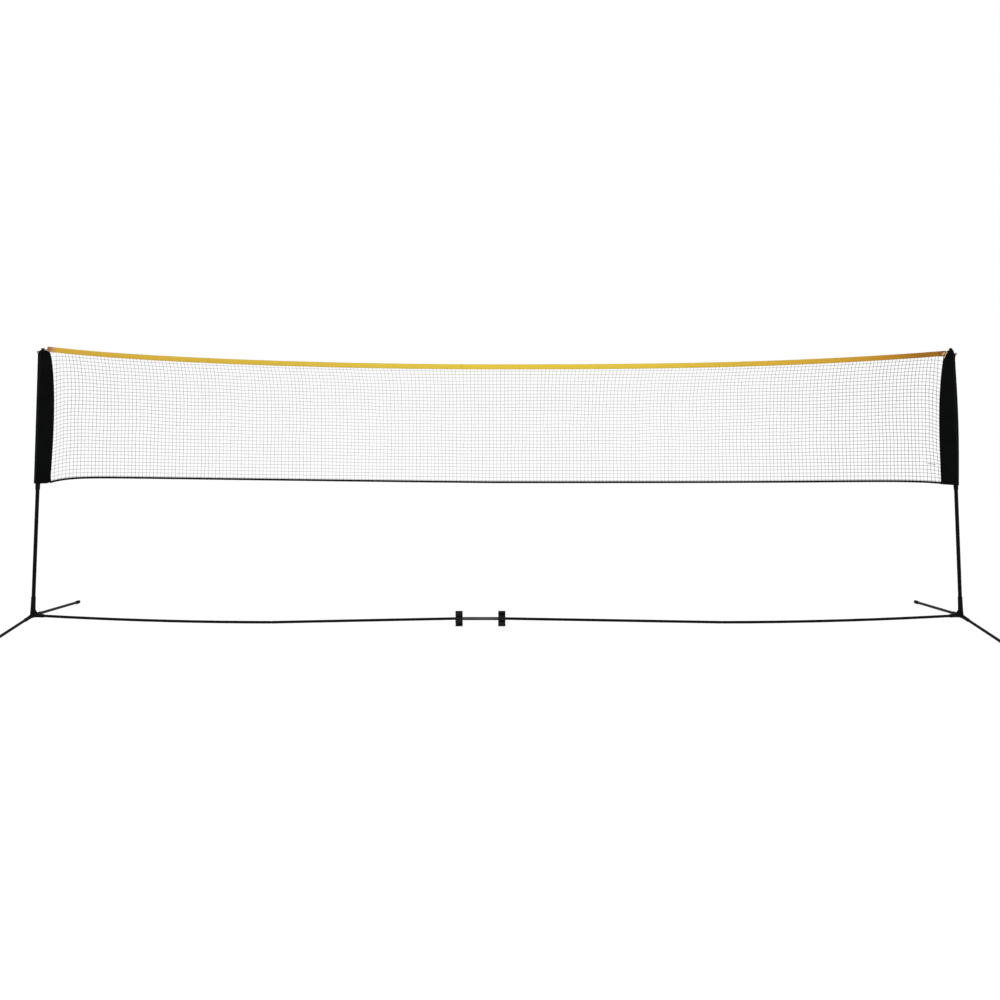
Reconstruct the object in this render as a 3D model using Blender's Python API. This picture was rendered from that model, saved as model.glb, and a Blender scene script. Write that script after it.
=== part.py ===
"""A free-standing badminton net: two telescopic posts on corner connectors with four legs and a
jointed base bar, and a net with fabric sleeves, a top tape and a bottom cord.

Metres, +Z up. X runs along the net, Y is the depth of the feet, the floor is Z = 0.
"""

import math

import bmesh
import bpy
from mathutils import Matrix, Vector

# Overall sizes
POST_X = 2.5825             # from the net's middle to a post axis
TOP_HEIGHT = 1.550          # floor to the top of the post caps
LEG_REACH = 0.515           # post axis to the tip of a foot, along the floor
HUB_HEIGHT = 0.060          # where the arms of a connector meet on the post axis
GAP = 0.0003                # between pieces that touch

# Tubes
UPPER_POST_RADIUS = 0.0080
UPPER_POST_WALL = 0.0010
POST_PLAY = 0.0008          # between the upper post and the lower one's bore
LOWER_POST_WALL = 0.0012
LEG_RADIUS = 0.0080
LEG_WALL = 0.0010
BAR_RADIUS = 0.0075
BAR_WALL = 0.0010

# Heights up the post
LOWER_POST_DROP = 0.017     # from the sleeves' lower edges to the top of a lower post
POST_OVERLAP = 0.085        # of the upper post inside the lower one
SLEEVE_TOP_DROP = 0.017     # below the top of the caps
SLEEVE_LENGTH = 0.741

# Corner connectors
SOCKET_WALL = 0.0016        # at the mouth of a socket
SOCKET_FLARE = 0.0026       # how much thicker a socket is at the hub
HUB_SWELL = 0.0006          # how far the hub's ball stands out from the post socket
ARM_START = 0.0020          # where an arm begins inside the ball
BEAD_LENGTH = 0.005         # raised bead round each socket mouth
BEAD_RISE = 0.0005
POST_SEAT = 0.022           # hub to the foot of the lower post
POST_SOCKET_DEPTH = 0.078
LEG_SEAT = 0.019            # hub to the inner end of a leg
LEG_SOCKET_DEPTH = 0.055
BAR_SEAT = 0.018
BAR_SOCKET_DEPTH = 0.042
GUSSET_RISE = 0.046         # up the post socket from the hub
GUSSET_REACH = 0.048        # along the bar socket from the hub
GUSSET_THICKNESS = 0.007

# Twist lock on each post
COLLAR_WALL = 0.0020
COLLAR_HEIGHT = 0.047
COLLAR_OVERLAP = 0.025      # over the lower post
COLLAR_FLUTES = 12
FLUTE_DEPTH = 0.0009
COLLAR_BEVEL = 0.0018
COLLAR_TAPER = 0.019        # over which the collar narrows to its foot
COLLAR_FOOT_WALL = 0.0008
COLLET_HEIGHT = 0.014
COLLET_SLOT = 0.0030
BUSH_FLANGE = 0.006
BUSH_STEM = 0.015
BUSH_BORE = 0.0040

# Post caps
CAP_STEM = 0.016
CAP_NECK_HEIGHT = 0.006
CAP_OVERHANG = 0.0020       # of the head past the post
CAP_HEAD_HEIGHT = 0.0095
CAP_RIM_HEIGHT = 0.0028     # straight part of the head, below its dome
LIP_RISE = 0.0010           # chamfer of the cap's rim and of a foot's mouth

# Feet
FOOT_WALL = 0.0022
FOOT_FLAT = 0.0017          # ground off the foot where it stands
FOOT_LENGTH = 0.034
FOOT_TIP = 0.007            # rubber past the end of the leg
FOOT_ROUNDING = 0.0042

# Base bar
BAR_JOINT_X = 1.25          # the joints between inner and outer sections
BAR_JOINT_HEIGHT = 0.022
SPIGOT_LENGTH = 0.060       # swaged end of an outer section
SPIGOT_TAPER = 0.010
COUPLING_X = -0.0909        # middle of the coupling, left of the net's middle
COUPLING_LENGTH = 0.194
COUPLING_WALL = 0.0012

# Bar clips
CLIP_LENGTH = 0.040
CLIP_CLEARANCE = 0.0018     # between a clip and the coupling's end
CLIP_HUB_WALL = 0.0046
GRIP_OFFSET = 0.0280        # bar axis to the middle of a grip
GRIP_WALL = 0.0037
GRIP_MOUTH = 0.013          # height of the opening between the lips
CLIP_NECK = 0.001           # bar axis to the bottom of the notch on a grip's closed side
BAR_LEVEL_MARGIN = 0.010    # the bar runs level this far past the clips

# Sleeves, as (left, right) where the two differ
FABRIC = 0.0012
SLEEVE_SEAM = 0.008         # sewn edge that holds the net
SLEEVE_TAIL_TOP = (0.0455, 0.0415)   # post axis to the inner edge, at the top
SLEEVE_TAIL = (0.0705, 0.0830)       # the same at the bottom
SLEEVE_SHOULDER = (4.6, 3.5)         # how fast the inner edge widens below the top
SLEEVE_BELLY = (0.0085, 0.0018)      # how far it bows towards the net halfway down
SLEEVE_NOSE_TOP = (0.0285, 0.0220)   # post axis to the outer edge
SLEEVE_NOSE_BOTTOM = (0.0225, 0.0180)
SLEEVE_NOSE_BELLY = (0.0, 0.0090)
SLEEVE_EAR = 0.004          # the top outer corner stands proud
SLEEVE_NOSE_DROP = 0.007    # and lies lower than the top at the post
SLEEVE_ROOM = 0.0010        # round the twist lock
SLEEVE_NARROW = 0.119       # from the top, over which it closes in on the post
SLEEVE_SECTIONS = 9
SECTION_CROWDING = 1.6      # the sections lie closer together near the top

# Top tape, as (left, right) where the two ends differ
TAPE_HEIGHT = 0.027
TAPE_WALL = 0.0008
TAPE_ROOM = 0.0003          # to each side of the net inside the fold
TAPE_MIDDLE_DROP = 0.1065   # below the top of the caps, at the net's middle
TAPE_END_DROP = (0.0140, 0.0290)
TAPE_SAG_SHARE = (0.90, 0.61)        # of the sag that is a parabola, the rest is near the ends
TAPE_SAG_POWER = 5
PATCH_LENGTH = 0.045
PATCH_THICKNESS = 0.0050
EYELET_RADIUS = 0.0032
EYELET_STRIP = 0.0035       # webbing left outside the eyelet
LOOP_RADIUS = 0.00125
LOOP_REACH = 0.0265         # post axis to the middle of the eyelet's strip

# Net
NET_COLUMNS = 48
NET_ROWS = 6
STRAND_WIDTH = 0.0022
STRAND_THICKNESS = 0.0020
CORD_RADIUS = 0.0045
CORD_LIFT = (0.032, 0.015)  # how much higher the cord runs near each end than at the middle
CORD_LIFT_POWER = (1.2, 3.5)
CORD_CORNER = (0.090, 0.190)         # over which it drops to the sleeve's corner

LEFT = -1
RIGHT = 1
SIDES = (("left", LEFT), ("right", RIGHT))

# Sizes that follow
LOWER_POST_RADIUS = UPPER_POST_RADIUS + POST_PLAY + LOWER_POST_WALL
COLLAR_RADIUS = LOWER_POST_RADIUS + GAP + COLLAR_WALL
CAP_HEAD_RADIUS = UPPER_POST_RADIUS + CAP_OVERHANG
FOOT_RADIUS = LEG_RADIUS + GAP + FOOT_WALL
POST_FOOT = HUB_HEIGHT + POST_SEAT
SLEEVE_TOP = TOP_HEIGHT - SLEEVE_TOP_DROP
SLEEVE_BOTTOM = SLEEVE_TOP - SLEEVE_LENGTH
TAPE_MIDDLE = TOP_HEIGHT - TAPE_MIDDLE_DROP
LOWER_POST_TOP = SLEEVE_BOTTOM - LOWER_POST_DROP
COLLAR_BOTTOM = LOWER_POST_TOP - COLLAR_OVERLAP
COLLAR_TOP = COLLAR_BOTTOM + COLLAR_HEIGHT
UPPER_POST_FOOT = LOWER_POST_TOP - POST_OVERLAP
NECK_TOP = TOP_HEIGHT - CAP_HEAD_HEIGHT
NECK_FOOT = NECK_TOP - CAP_NECK_HEIGHT
UPPER_POST_TOP = NECK_FOOT - GAP
FOOT_AXIS = FOOT_RADIUS - FOOT_FLAT
LEG_SLOPE = math.atan2(HUB_HEIGHT - FOOT_AXIS, LEG_REACH)
LEG_TOTAL = math.hypot(HUB_HEIGHT - FOOT_AXIS, LEG_REACH)
GRIP_RADIUS = LOWER_POST_RADIUS + GAP
CLIP_HALF_HEIGHT = GRIP_OFFSET + GRIP_RADIUS + GRIP_WALL
CLIP_OFFSET = COUPLING_LENGTH / 2 + CLIP_CLEARANCE + CLIP_LENGTH / 2
BAR_LEVEL_REACH = CLIP_OFFSET + CLIP_LENGTH / 2 + BAR_LEVEL_MARGIN
BAR_MIDDLE_HEIGHT = CLIP_HALF_HEIGHT
BAR_MOUTH = BAR_SEAT + BAR_SOCKET_DEPTH
BAR_MOUTH_X = POST_X - BAR_MOUTH
BAR_SLOPE = 2 * (HUB_HEIGHT - BAR_JOINT_HEIGHT) / (BAR_MOUTH_X - BAR_JOINT_X + 2 * BAR_MOUTH)
PATCH_START = LOOP_REACH - EYELET_STRIP / 2
EYELET_MIDDLE = LOOP_REACH + EYELET_STRIP / 2 + EYELET_RADIUS
TAPE_END_X = POST_X - PATCH_START

for old in list(bpy.data.objects):
    bpy.data.objects.remove(old)


# Materials

def material(name, colour, roughness, metallic=0.0):
    """A Principled material with one colour."""
    made = bpy.data.materials.new(name)
    made.use_nodes = True
    shader = made.node_tree.nodes["Principled BSDF"]
    shader.inputs["Base Color"].default_value = (*colour, 1)
    shader.inputs["Roughness"].default_value = roughness
    shader.inputs["Metallic"].default_value = metallic
    return made


STEEL = material("black_steel", (0.012, 0.012, 0.013), 0.35, 0.4)
PLASTIC = material("black_plastic", (0.015, 0.015, 0.016), 0.5)
PALE_PLASTIC = material("pale_plastic", (0.55, 0.55, 0.53), 0.5)
COUPLING = material("grey_coupling", (0.09, 0.09, 0.095), 0.3, 0.6)
RUBBER = material("foot_rubber", (0.012, 0.012, 0.012), 0.8)
SLEEVE = material("sleeve_fabric", (0.006, 0.006, 0.007), 0.85)
TAPE = material("tape_yellow", (0.72, 0.45, 0.06), 0.7)
PATCH = material("patch_brown", (0.46, 0.24, 0.08), 0.75)
NET = material("net_twine", (0.05, 0.05, 0.05), 0.8)
CORD = material("cord_black", (0.03, 0.03, 0.03), 0.7)
LOOP = material("loop_cord", (0.45, 0.48, 0.38), 0.8)


# Tools for building meshes

def as_object(bm, name, surface, smooth=35):
    """Turns a bmesh into an object with outward faces, shaded smooth up to the angle given."""
    bmesh.ops.remove_doubles(bm, verts=bm.verts, dist=1e-7)
    bmesh.ops.recalc_face_normals(bm, faces=bm.faces)
    mesh = bpy.data.meshes.new(name)
    bm.to_mesh(mesh)
    bm.free()
    mesh.materials.append(surface)
    mesh.shade_smooth()
    mesh.set_sharp_from_angle(angle=math.radians(smooth))
    made = bpy.data.objects.new(name, mesh)
    bpy.context.scene.collection.objects.link(made)
    return made


def place(point, direction):
    """The matrix that stands a piece built along +Z at a point, with its +Z along a direction."""
    return Matrix.Translation(point) @ Vector(direction).to_track_quat("Z", "Y").to_matrix().to_4x4()


def turned(bm, profile, steps, at, closed=False):
    """Spins a profile of (radius, height) points round an axis. A closed profile is a ring."""
    corners = [bm.verts.new((radius, 0, height)) for radius, height in profile]
    pairs = list(zip(corners, corners[1:]))
    if closed:
        pairs.append((corners[-1], corners[0]))
    edges = [bm.edges.new(pair) for pair in pairs]
    bmesh.ops.spin(bm, geom=corners + edges, cent=(0, 0, 0), axis=(0, 0, 1), dvec=(0, 0, 0),
                   angle=math.tau, steps=steps, use_merge=True, use_duplicate=False)
    bmesh.ops.remove_doubles(bm, verts=bm.verts, dist=1e-7)
    bmesh.ops.transform(bm, matrix=at, verts=bm.verts)


def turned_object(name, profile, at, surface, steps=16, closed=False, smooth=35):
    bm = bmesh.new()
    turned(bm, profile, steps, at, closed)
    return as_object(bm, name, surface, smooth)


def tube_profile(outer, inner, low, high):
    """The ring profile of a straight tube."""
    return [(outer, high), (outer, low), (inner, low), (inner, high)]


def skin(bm, rings, closed=False, capped=True):
    """Joins rings of equal length with quads. Ends are capped, or the last ring meets the first."""
    loops = [[bm.verts.new(point) for point in ring] for ring in rings]
    following = loops[1:] + loops[:1] if closed else loops[1:]
    for near, far in zip(loops, following):
        for i, corner in enumerate(near):
            j = (i + 1) % len(near)
            bm.faces.new((corner, near[j], far[j], far[i]))
    if capped and not closed:
        bm.faces.new(loops[0])
        bm.faces.new(loops[-1])


def skin_object(name, rings, surface, closed=False, smooth=35):
    bm = bmesh.new()
    skin(bm, rings, closed)
    return as_object(bm, name, surface, smooth)


def directions(path, closed=False):
    """The unit direction of a path at each of its points."""
    found = []
    for i in range(len(path)):
        ahead = path[(i + 1) % len(path)] if closed or i + 1 < len(path) else path[i]
        behind = path[i - 1] if closed or i > 0 else path[i]
        found.append((ahead - behind).normalized())
    return found


def round_rings(path, radii, across, sides, closed=False):
    """Circles along a path that lies square to across."""
    rings = []
    for point, ahead, radius in zip(path, directions(path, closed), radii):
        side = ahead.cross(across).normalized()
        rings.append([point + radius * (math.cos(a) * across + math.sin(a) * side)
                      for a in (math.tau * k / sides for k in range(sides))])
    return rings


def guide(made):
    """Keeps an object for a Boolean modifier only."""
    made.hide_render = True
    made.display_type = "WIRE"
    return made


def combine(made, operation, others):
    for other in others:
        cut = made.modifiers.new(other.name, "BOOLEAN")
        cut.operation = operation
        cut.solver = "EXACT"
        cut.object = other


def spaced(low, high, count):
    """count + 1 values from low to high."""
    return [low + (high - low) * i / count for i in range(count + 1)]


def smoothstep(t):
    t = min(1.0, max(0.0, t))
    return t * t * (3 - 2 * t)


def by_side(pair, x):
    """The left or the right value of a pair of sizes."""
    return pair[0] if x < 0 else pair[1]


# Curves that the soft pieces follow

def sleeve_tail(side, w):
    """Post axis to a sleeve's inner edge, w being 0 at the top and 1 at the bottom."""
    top = by_side(SLEEVE_TAIL_TOP, side)
    widened = (by_side(SLEEVE_TAIL, side) - top) * (1 - (1 - w) ** by_side(SLEEVE_SHOULDER, side))
    return top + widened + by_side(SLEEVE_BELLY, side) * math.sin(math.pi * w)


def sleeve_nose(side, w):
    """Post axis to a sleeve's outer edge."""
    top = by_side(SLEEVE_NOSE_TOP, side)
    nose = top + (by_side(SLEEVE_NOSE_BOTTOM, side) - top) * w
    return nose + by_side(SLEEVE_NOSE_BELLY, side) * math.sin(math.pi * w)


SLEEVE_STATIONS = [t ** SECTION_CROWDING for t in spaced(0, 1, SLEEVE_SECTIONS)]
NET_EDGES = [side * (POST_X - GAP - STRAND_WIDTH / 2 - max(sleeve_tail(side, w) for w in SLEEVE_STATIONS))
             for word, side in SIDES]
COLUMN_XS = spaced(*NET_EDGES, NET_COLUMNS)
CORD_ENDS = [POST_X - GAP - sleeve_tail(side, 1 - 2 * CORD_RADIUS / SLEEVE_LENGTH) for word, side in SIDES]


def tape_height(x):
    """The middle line of the top tape."""
    rise = TOP_HEIGHT - by_side(TAPE_END_DROP, x) - TAPE_MIDDLE
    share = by_side(TAPE_SAG_SHARE, x)
    t = abs(x) / TAPE_END_X
    return TAPE_MIDDLE + rise * (share * t ** 2 + (1 - share) * t ** TAPE_SAG_POWER)


def cord_height(x):
    """The middle line of the bottom cord."""
    end = by_side(CORD_ENDS, x)
    run = SLEEVE_BOTTOM + by_side(CORD_LIFT, x) * (abs(x) / end) ** by_side(CORD_LIFT_POWER, x)
    corner = SLEEVE_BOTTOM + CORD_RADIUS
    near_end = math.exp(-max(0.0, end - abs(x)) / by_side(CORD_CORNER, x))
    return run + (corner - run) * near_end


def bar_height(x):
    """The axis of the base bar. It bows down to the joints and is level between the clips."""
    x_clip = x - COUPLING_X
    if abs(x_clip) <= BAR_LEVEL_REACH:
        return BAR_MIDDLE_HEIGHT
    if abs(x) <= BAR_JOINT_X:
        run = BAR_JOINT_X - (BAR_LEVEL_REACH + COUPLING_X * math.copysign(1, x_clip))
        share = (BAR_JOINT_X - abs(x)) / run
        return BAR_JOINT_HEIGHT + (BAR_MIDDLE_HEIGHT - BAR_JOINT_HEIGHT) * share
    if abs(x) >= BAR_MOUTH_X:
        return HUB_HEIGHT - BAR_SLOPE * (POST_X - abs(x))
    mouth = HUB_HEIGHT - BAR_SLOPE * BAR_MOUTH
    share = (abs(x) - BAR_JOINT_X) / (BAR_MOUTH_X - BAR_JOINT_X)
    return BAR_JOINT_HEIGHT + (mouth - BAR_JOINT_HEIGHT) * share ** 2


# Corner connectors

def arm(name, seat, depth, bore, at):
    """One socket of a connector. It narrows from the hub to its beaded mouth."""
    outer = bore + SOCKET_WALL
    mouth = seat + depth
    neck = mouth - BEAD_LENGTH - BEAD_RISE
    profile = [(0, mouth), (outer + BEAD_RISE, mouth), (outer + BEAD_RISE, mouth - BEAD_LENGTH)]
    profile += [(outer + SOCKET_FLARE * (1 - t) ** 2, ARM_START + (neck - ARM_START) * t)
                for t in spaced(1, 0, 4)]
    profile.append((0, ARM_START))
    return turned_object(name, profile, at, PLASTIC)


def bore(name, seat, depth, radius, at):
    """The hole of a socket."""
    mouth = seat + depth + BEAD_LENGTH
    profile = [(0, mouth), (radius, mouth), (radius, seat), (0, seat)]
    return guide(turned_object(name, profile, at, PLASTIC))


def gusset(name, side):
    """The web between the post socket and the bar socket, with a hollow curved edge."""
    drop = -BAR_SLOPE * GUSSET_REACH
    foot = drop + BAR_RADIUS + GAP + SOCKET_WALL / 2
    corners = [(0.0, 0.0), (GUSSET_REACH, drop)]
    for t in spaced(0, 1, 5):
        a = t * math.pi / 2
        corners.append((GUSSET_REACH * (1 - math.sin(a)) + LOWER_POST_RADIUS * math.sin(a),
                        foot + (GUSSET_RISE - foot) * (1 - math.cos(a))))
    corners.append((0.0, GUSSET_RISE))
    rings = [[Vector((-side * reach, y, rise)) for reach, rise in corners]
             for y in (-GUSSET_THICKNESS / 2, GUSSET_THICKNESS / 2)]
    return guide(skin_object(name, rings, PLASTIC))


def connector(word, side):
    """Built round the hub, and then moved there."""
    down = math.sin(LEG_SLOPE)
    out = math.cos(LEG_SLOPE)
    sockets = (
        ("post", POST_SEAT, POST_SOCKET_DEPTH, LOWER_POST_RADIUS + GAP, (0, 0, 1)),
        ("front", LEG_SEAT, LEG_SOCKET_DEPTH, LEG_RADIUS + GAP, (0, -out, -down)),
        ("rear", LEG_SEAT, LEG_SOCKET_DEPTH, LEG_RADIUS + GAP, (0, out, -down)),
        ("bar", BAR_SEAT, BAR_SOCKET_DEPTH, BAR_RADIUS + GAP, (-side, 0, -BAR_SLOPE)),
    )
    radius = LOWER_POST_RADIUS + GAP + SOCKET_WALL + SOCKET_FLARE + HUB_SWELL
    ball = [(radius * math.cos(a), radius * math.sin(a)) for a in spaced(math.pi / 2, -math.pi / 2, 6)]
    made = turned_object(f"base_connector_{word}", ball, Matrix.Identity(4), PLASTIC)
    centre = (0, 0, 0)
    added = [guide(arm(f"guide_arm_{kind}_{word}", seat, depth, width, place(centre, way)))
             for kind, seat, depth, width, way in sockets]
    added.append(gusset(f"guide_gusset_{word}", side))
    bores = [bore(f"guide_bore_{kind}_{word}", seat, depth, width, place(centre, way))
             for kind, seat, depth, width, way in sockets]
    combine(made, "UNION", added)
    combine(made, "DIFFERENCE", bores)
    for piece in [made] + added + bores:
        piece.location = (side * POST_X, 0, HUB_HEIGHT)


# Legs and feet

def leg(word, side, end, way):
    hub = Vector((side * POST_X, 0, HUB_HEIGHT))
    at = place(hub, (0, way * math.cos(LEG_SLOPE), -math.sin(LEG_SLOPE)))
    tube_end = LEG_TOTAL - FOOT_TIP - GAP
    turned_object(f"leg_{end}_{word}",
                  tube_profile(LEG_RADIUS, LEG_RADIUS - LEG_WALL, LEG_SEAT + GAP, tube_end),
                  at, STEEL, closed=True)
    mouth = LEG_TOTAL - FOOT_LENGTH
    cavity = LEG_RADIUS + GAP
    profile = [(0, LEG_TOTAL)]
    profile += [(FOOT_RADIUS - FOOT_ROUNDING * (1 - math.sin(a)),
                 LEG_TOTAL - FOOT_ROUNDING * (1 - math.cos(a))) for a in spaced(0, math.pi / 2, 3)]
    profile += [(FOOT_RADIUS, mouth + LIP_RISE), (FOOT_RADIUS - LIP_RISE, mouth), (cavity, mouth),
                (cavity, tube_end + GAP), (0, tube_end + GAP)]
    bm = bmesh.new()
    turned(bm, profile, 16, at)
    cut = bmesh.ops.bisect_plane(bm, geom=list(bm.verts) + list(bm.edges) + list(bm.faces),
                                 plane_co=(0, 0, 0), plane_no=(0, 0, -1), clear_outer=True)
    rim = [edge for edge in cut["geom_cut"] if isinstance(edge, bmesh.types.BMEdge)]
    bmesh.ops.contextual_create(bm, geom=rim)
    as_object(bm, f"foot_{end}_{word}", RUBBER)


# Posts

def post(word, side):
    axis = Matrix.Translation((side * POST_X, 0, 0))
    lower_bore = LOWER_POST_RADIUS - LOWER_POST_WALL
    upper_bore = UPPER_POST_RADIUS - UPPER_POST_WALL
    turned_object(f"lower_post_{word}",
                  tube_profile(LOWER_POST_RADIUS, lower_bore, POST_FOOT + GAP, LOWER_POST_TOP),
                  axis, STEEL, closed=True)
    turned_object(f"upper_post_{word}",
                  tube_profile(UPPER_POST_RADIUS, upper_bore, UPPER_POST_FOOT, UPPER_POST_TOP),
                  axis, STEEL, closed=True)
    foot = UPPER_POST_FOOT - GAP
    stem = upper_bore - GAP
    flange = lower_bore - GAP
    turned_object(f"guide_bush_{word}",
                  [(flange, foot), (flange, foot - BUSH_FLANGE), (BUSH_BORE, foot - BUSH_FLANGE),
                   (BUSH_BORE, foot + BUSH_STEM), (stem, foot + BUSH_STEM), (stem, foot)],
                  axis, PALE_PLASTIC, closed=True)
    dome = CAP_HEAD_HEIGHT - CAP_RIM_HEIGHT
    head = [(CAP_HEAD_RADIUS * math.cos(a), NECK_TOP + CAP_RIM_HEIGHT + dome * math.sin(a))
            for a in spaced(math.pi / 2, 0, 4)]
    turned_object(f"post_cap_{word}",
                  [(0, TOP_HEIGHT)] + head[1:] +
                  [(CAP_HEAD_RADIUS, NECK_TOP + LIP_RISE), (CAP_HEAD_RADIUS - LIP_RISE, NECK_TOP),
                   (UPPER_POST_RADIUS, NECK_TOP), (UPPER_POST_RADIUS, NECK_FOOT), (stem, NECK_FOOT),
                   (stem, NECK_FOOT - CAP_STEM), (0, NECK_FOOT - CAP_STEM)],
                  axis, PLASTIC)


def collar_section(height, radius, flute, centre):
    """A ring of the twist lock with its grip flutes."""
    count = 2 * COLLAR_FLUTES
    return [centre + Vector(((radius - flute * (k % 2)) * math.cos(math.tau * k / count),
                             (radius - flute * (k % 2)) * math.sin(math.tau * k / count), height))
            for k in range(count)]


def twist_lock(word, side):
    """The collar that turns to grip the upper post, and the split collet inside it."""
    centre = Vector((side * POST_X, 0, 0))
    chamber = LOWER_POST_RADIUS + GAP
    collet_foot = LOWER_POST_TOP + GAP
    roof = collet_foot + COLLET_HEIGHT + GAP
    end = COLLAR_RADIUS - COLLAR_BEVEL
    foot = chamber + COLLAR_FOOT_WALL
    waist = foot + (COLLAR_RADIUS - foot) * 0.75
    stages = ((COLLAR_BOTTOM, foot, 0), (COLLAR_BOTTOM + COLLAR_TAPER / 2, waist, FLUTE_DEPTH / 2),
              (COLLAR_BOTTOM + COLLAR_TAPER, COLLAR_RADIUS, FLUTE_DEPTH),
              (COLLAR_TOP - COLLAR_BEVEL, COLLAR_RADIUS, FLUTE_DEPTH), (COLLAR_TOP, end, 0),
              (COLLAR_TOP, UPPER_POST_RADIUS + GAP, 0), (roof, UPPER_POST_RADIUS + GAP, 0),
              (roof, chamber, 0), (COLLAR_BOTTOM, chamber, 0))
    made = skin_object(f"lock_collar_{word}",
                       [collar_section(height, radius, flute, Vector())
                        for height, radius, flute in stages], PLASTIC, closed=True, smooth=30)
    made.location = centre

    inner = UPPER_POST_RADIUS + GAP
    outer = chamber - GAP
    half_slot = math.asin(COLLET_SLOT / 2 / inner)
    stations = spaced(half_slot, math.tau - half_slot, 14)
    rings = [[centre + Vector((radius * math.cos(a), radius * math.sin(a), height))
              for radius, height in ((outer, collet_foot), (outer, collet_foot + COLLET_HEIGHT),
                                     (inner, collet_foot + COLLET_HEIGHT), (inner, collet_foot))]
             for a in stations]
    skin_object(f"lock_collet_{word}", rings, PALE_PLASTIC)


# Base bar

def bar_tube(name, path, outer, inner, sides=12):
    """A bent tube: out along its outside and back along its bore."""
    across = Vector((0, 1, 0))
    rings = round_rings(path, outer, across, sides) + round_rings(path, inner, across, sides)[::-1]
    skin_object(name, rings, STEEL, closed=True)


def outer_section(word, side):
    """From the connector to the joint, where its swaged end plugs into the inner section."""
    seat = POST_X - BAR_SEAT - GAP
    plug_start = BAR_JOINT_X + SPIGOT_TAPER
    plug = BAR_RADIUS - BAR_WALL - GAP
    xs = [seat] + spaced(BAR_MOUTH_X, plug_start, 9) + [BAR_JOINT_X, BAR_JOINT_X - SPIGOT_LENGTH]
    path = [Vector((side * x, 0, bar_height(x))) for x in xs]
    outer = [BAR_RADIUS] * (len(xs) - 2) + [plug, plug]
    bar_tube(f"bar_outer_{word}", path, outer, [radius - BAR_WALL for radius in outer])


def inner_section(word, side):
    """From the joint to the middle of the coupling."""
    start = side * (BAR_JOINT_X - GAP)
    xs = spaced(start, COUPLING_X + side * BAR_LEVEL_REACH, 3) + [COUPLING_X + side * GAP]
    path = [Vector((x, 0, bar_height(x))) for x in xs]
    bar_tube(f"bar_inner_{word}", path, [BAR_RADIUS] * len(xs), [BAR_RADIUS - BAR_WALL] * len(xs))


def coupling():
    inner = BAR_RADIUS + GAP
    at = place((COUPLING_X, 0, BAR_MIDDLE_HEIGHT), (1, 0, 0))
    half = COUPLING_LENGTH / 2
    turned_object("bar_coupling", tube_profile(inner + COUPLING_WALL, inner, -half, half), at, COUPLING,
                  closed=True)


def arc(centre, radius, start, end, count):
    """Points of an arc in the plane of a clip's outline."""
    return [(radius * math.cos(a), centre + radius * math.sin(a)) for a in spaced(start, end, count)]


def clip_outline():
    """The S of a clip as (across, up) from the bar's axis. Each grip has its mouth on one side,
    under it a straight web to the hub, and a notch at the hub on its other side."""
    grip_outer = GRIP_RADIUS + GRIP_WALL
    hub = BAR_RADIUS + GAP + CLIP_HUB_WALL
    mouth = GRIP_MOUTH / 2
    outer_lip = math.asin(mouth / grip_outer)
    inner_lip = math.asin(mouth / GRIP_RADIUS)
    half = [(hub, 0), (grip_outer * math.cos(outer_lip), GRIP_OFFSET - mouth)]
    half += arc(GRIP_OFFSET, GRIP_RADIUS, -inner_lip, inner_lip - math.tau, 13)
    half += arc(GRIP_OFFSET, grip_outer, outer_lip, math.pi + math.acos(CLIP_NECK / grip_outer), 13)
    half += arc(0, hub, math.pi - math.acos(CLIP_NECK / hub), math.pi, 4)[:-1]
    return half + [(-y, -z) for y, z in half]


def clip(word, side):
    """A moulded clip: a hub round the bar with an open grip above and below it. The right one is the
    left one turned end for end."""
    curve = bpy.data.curves.new(f"bar_clip_{word}", "CURVE")
    curve.dimensions = "2D"
    curve.fill_mode = "BOTH"
    curve.extrude = CLIP_LENGTH / 2
    for points in (clip_outline(), arc(0, BAR_RADIUS + GAP, 0, math.tau, 16)[:-1]):
        spline = curve.splines.new("POLY")
        spline.points.add(len(points) - 1)
        spline.use_cyclic_u = True
        for spot, (across, up) in zip(spline.points, points):
            spot.co = (across, up, 0, 1)
    curve.materials.append(PLASTIC)
    made = bpy.data.objects.new(f"bar_clip_{word}", curve)
    bpy.context.scene.collection.objects.link(made)
    made.location = (COUPLING_X + side * CLIP_OFFSET, 0, BAR_MIDDLE_HEIGHT)
    made.rotation_euler = (math.pi / 2, 0, -side * math.pi / 2)


# Sleeves

def sleeve_outline(side, w, inside):
    """Half of a sleeve's teardrop section as (reach, half thickness), from nose to tail."""
    nose = sleeve_nose(side, w)
    if w == 0:
        nose += SLEEVE_EAR
    tail = sleeve_tail(side, w)
    slim = UPPER_POST_RADIUS + GAP + FABRIC
    full = COLLAR_RADIUS + SLEEVE_ROOM + FABRIC
    half = slim + (full - slim) * smoothstep(w * SLEEVE_LENGTH / SLEEVE_NARROW)
    edge = FABRIC + GAP
    if inside:
        nose -= FABRIC
        tail -= SLEEVE_SEAM
        half -= FABRIC
        edge -= FABRIC
    points = [(-nose * math.cos(a), half * math.sin(a)) for a in spaced(0, math.pi / 2, 4)]
    for t in spaced(0, 1, 4)[1:]:
        points.append((tail * t, edge + (half - edge) * math.cos(t * math.pi / 2) ** 2))
    return points


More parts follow.
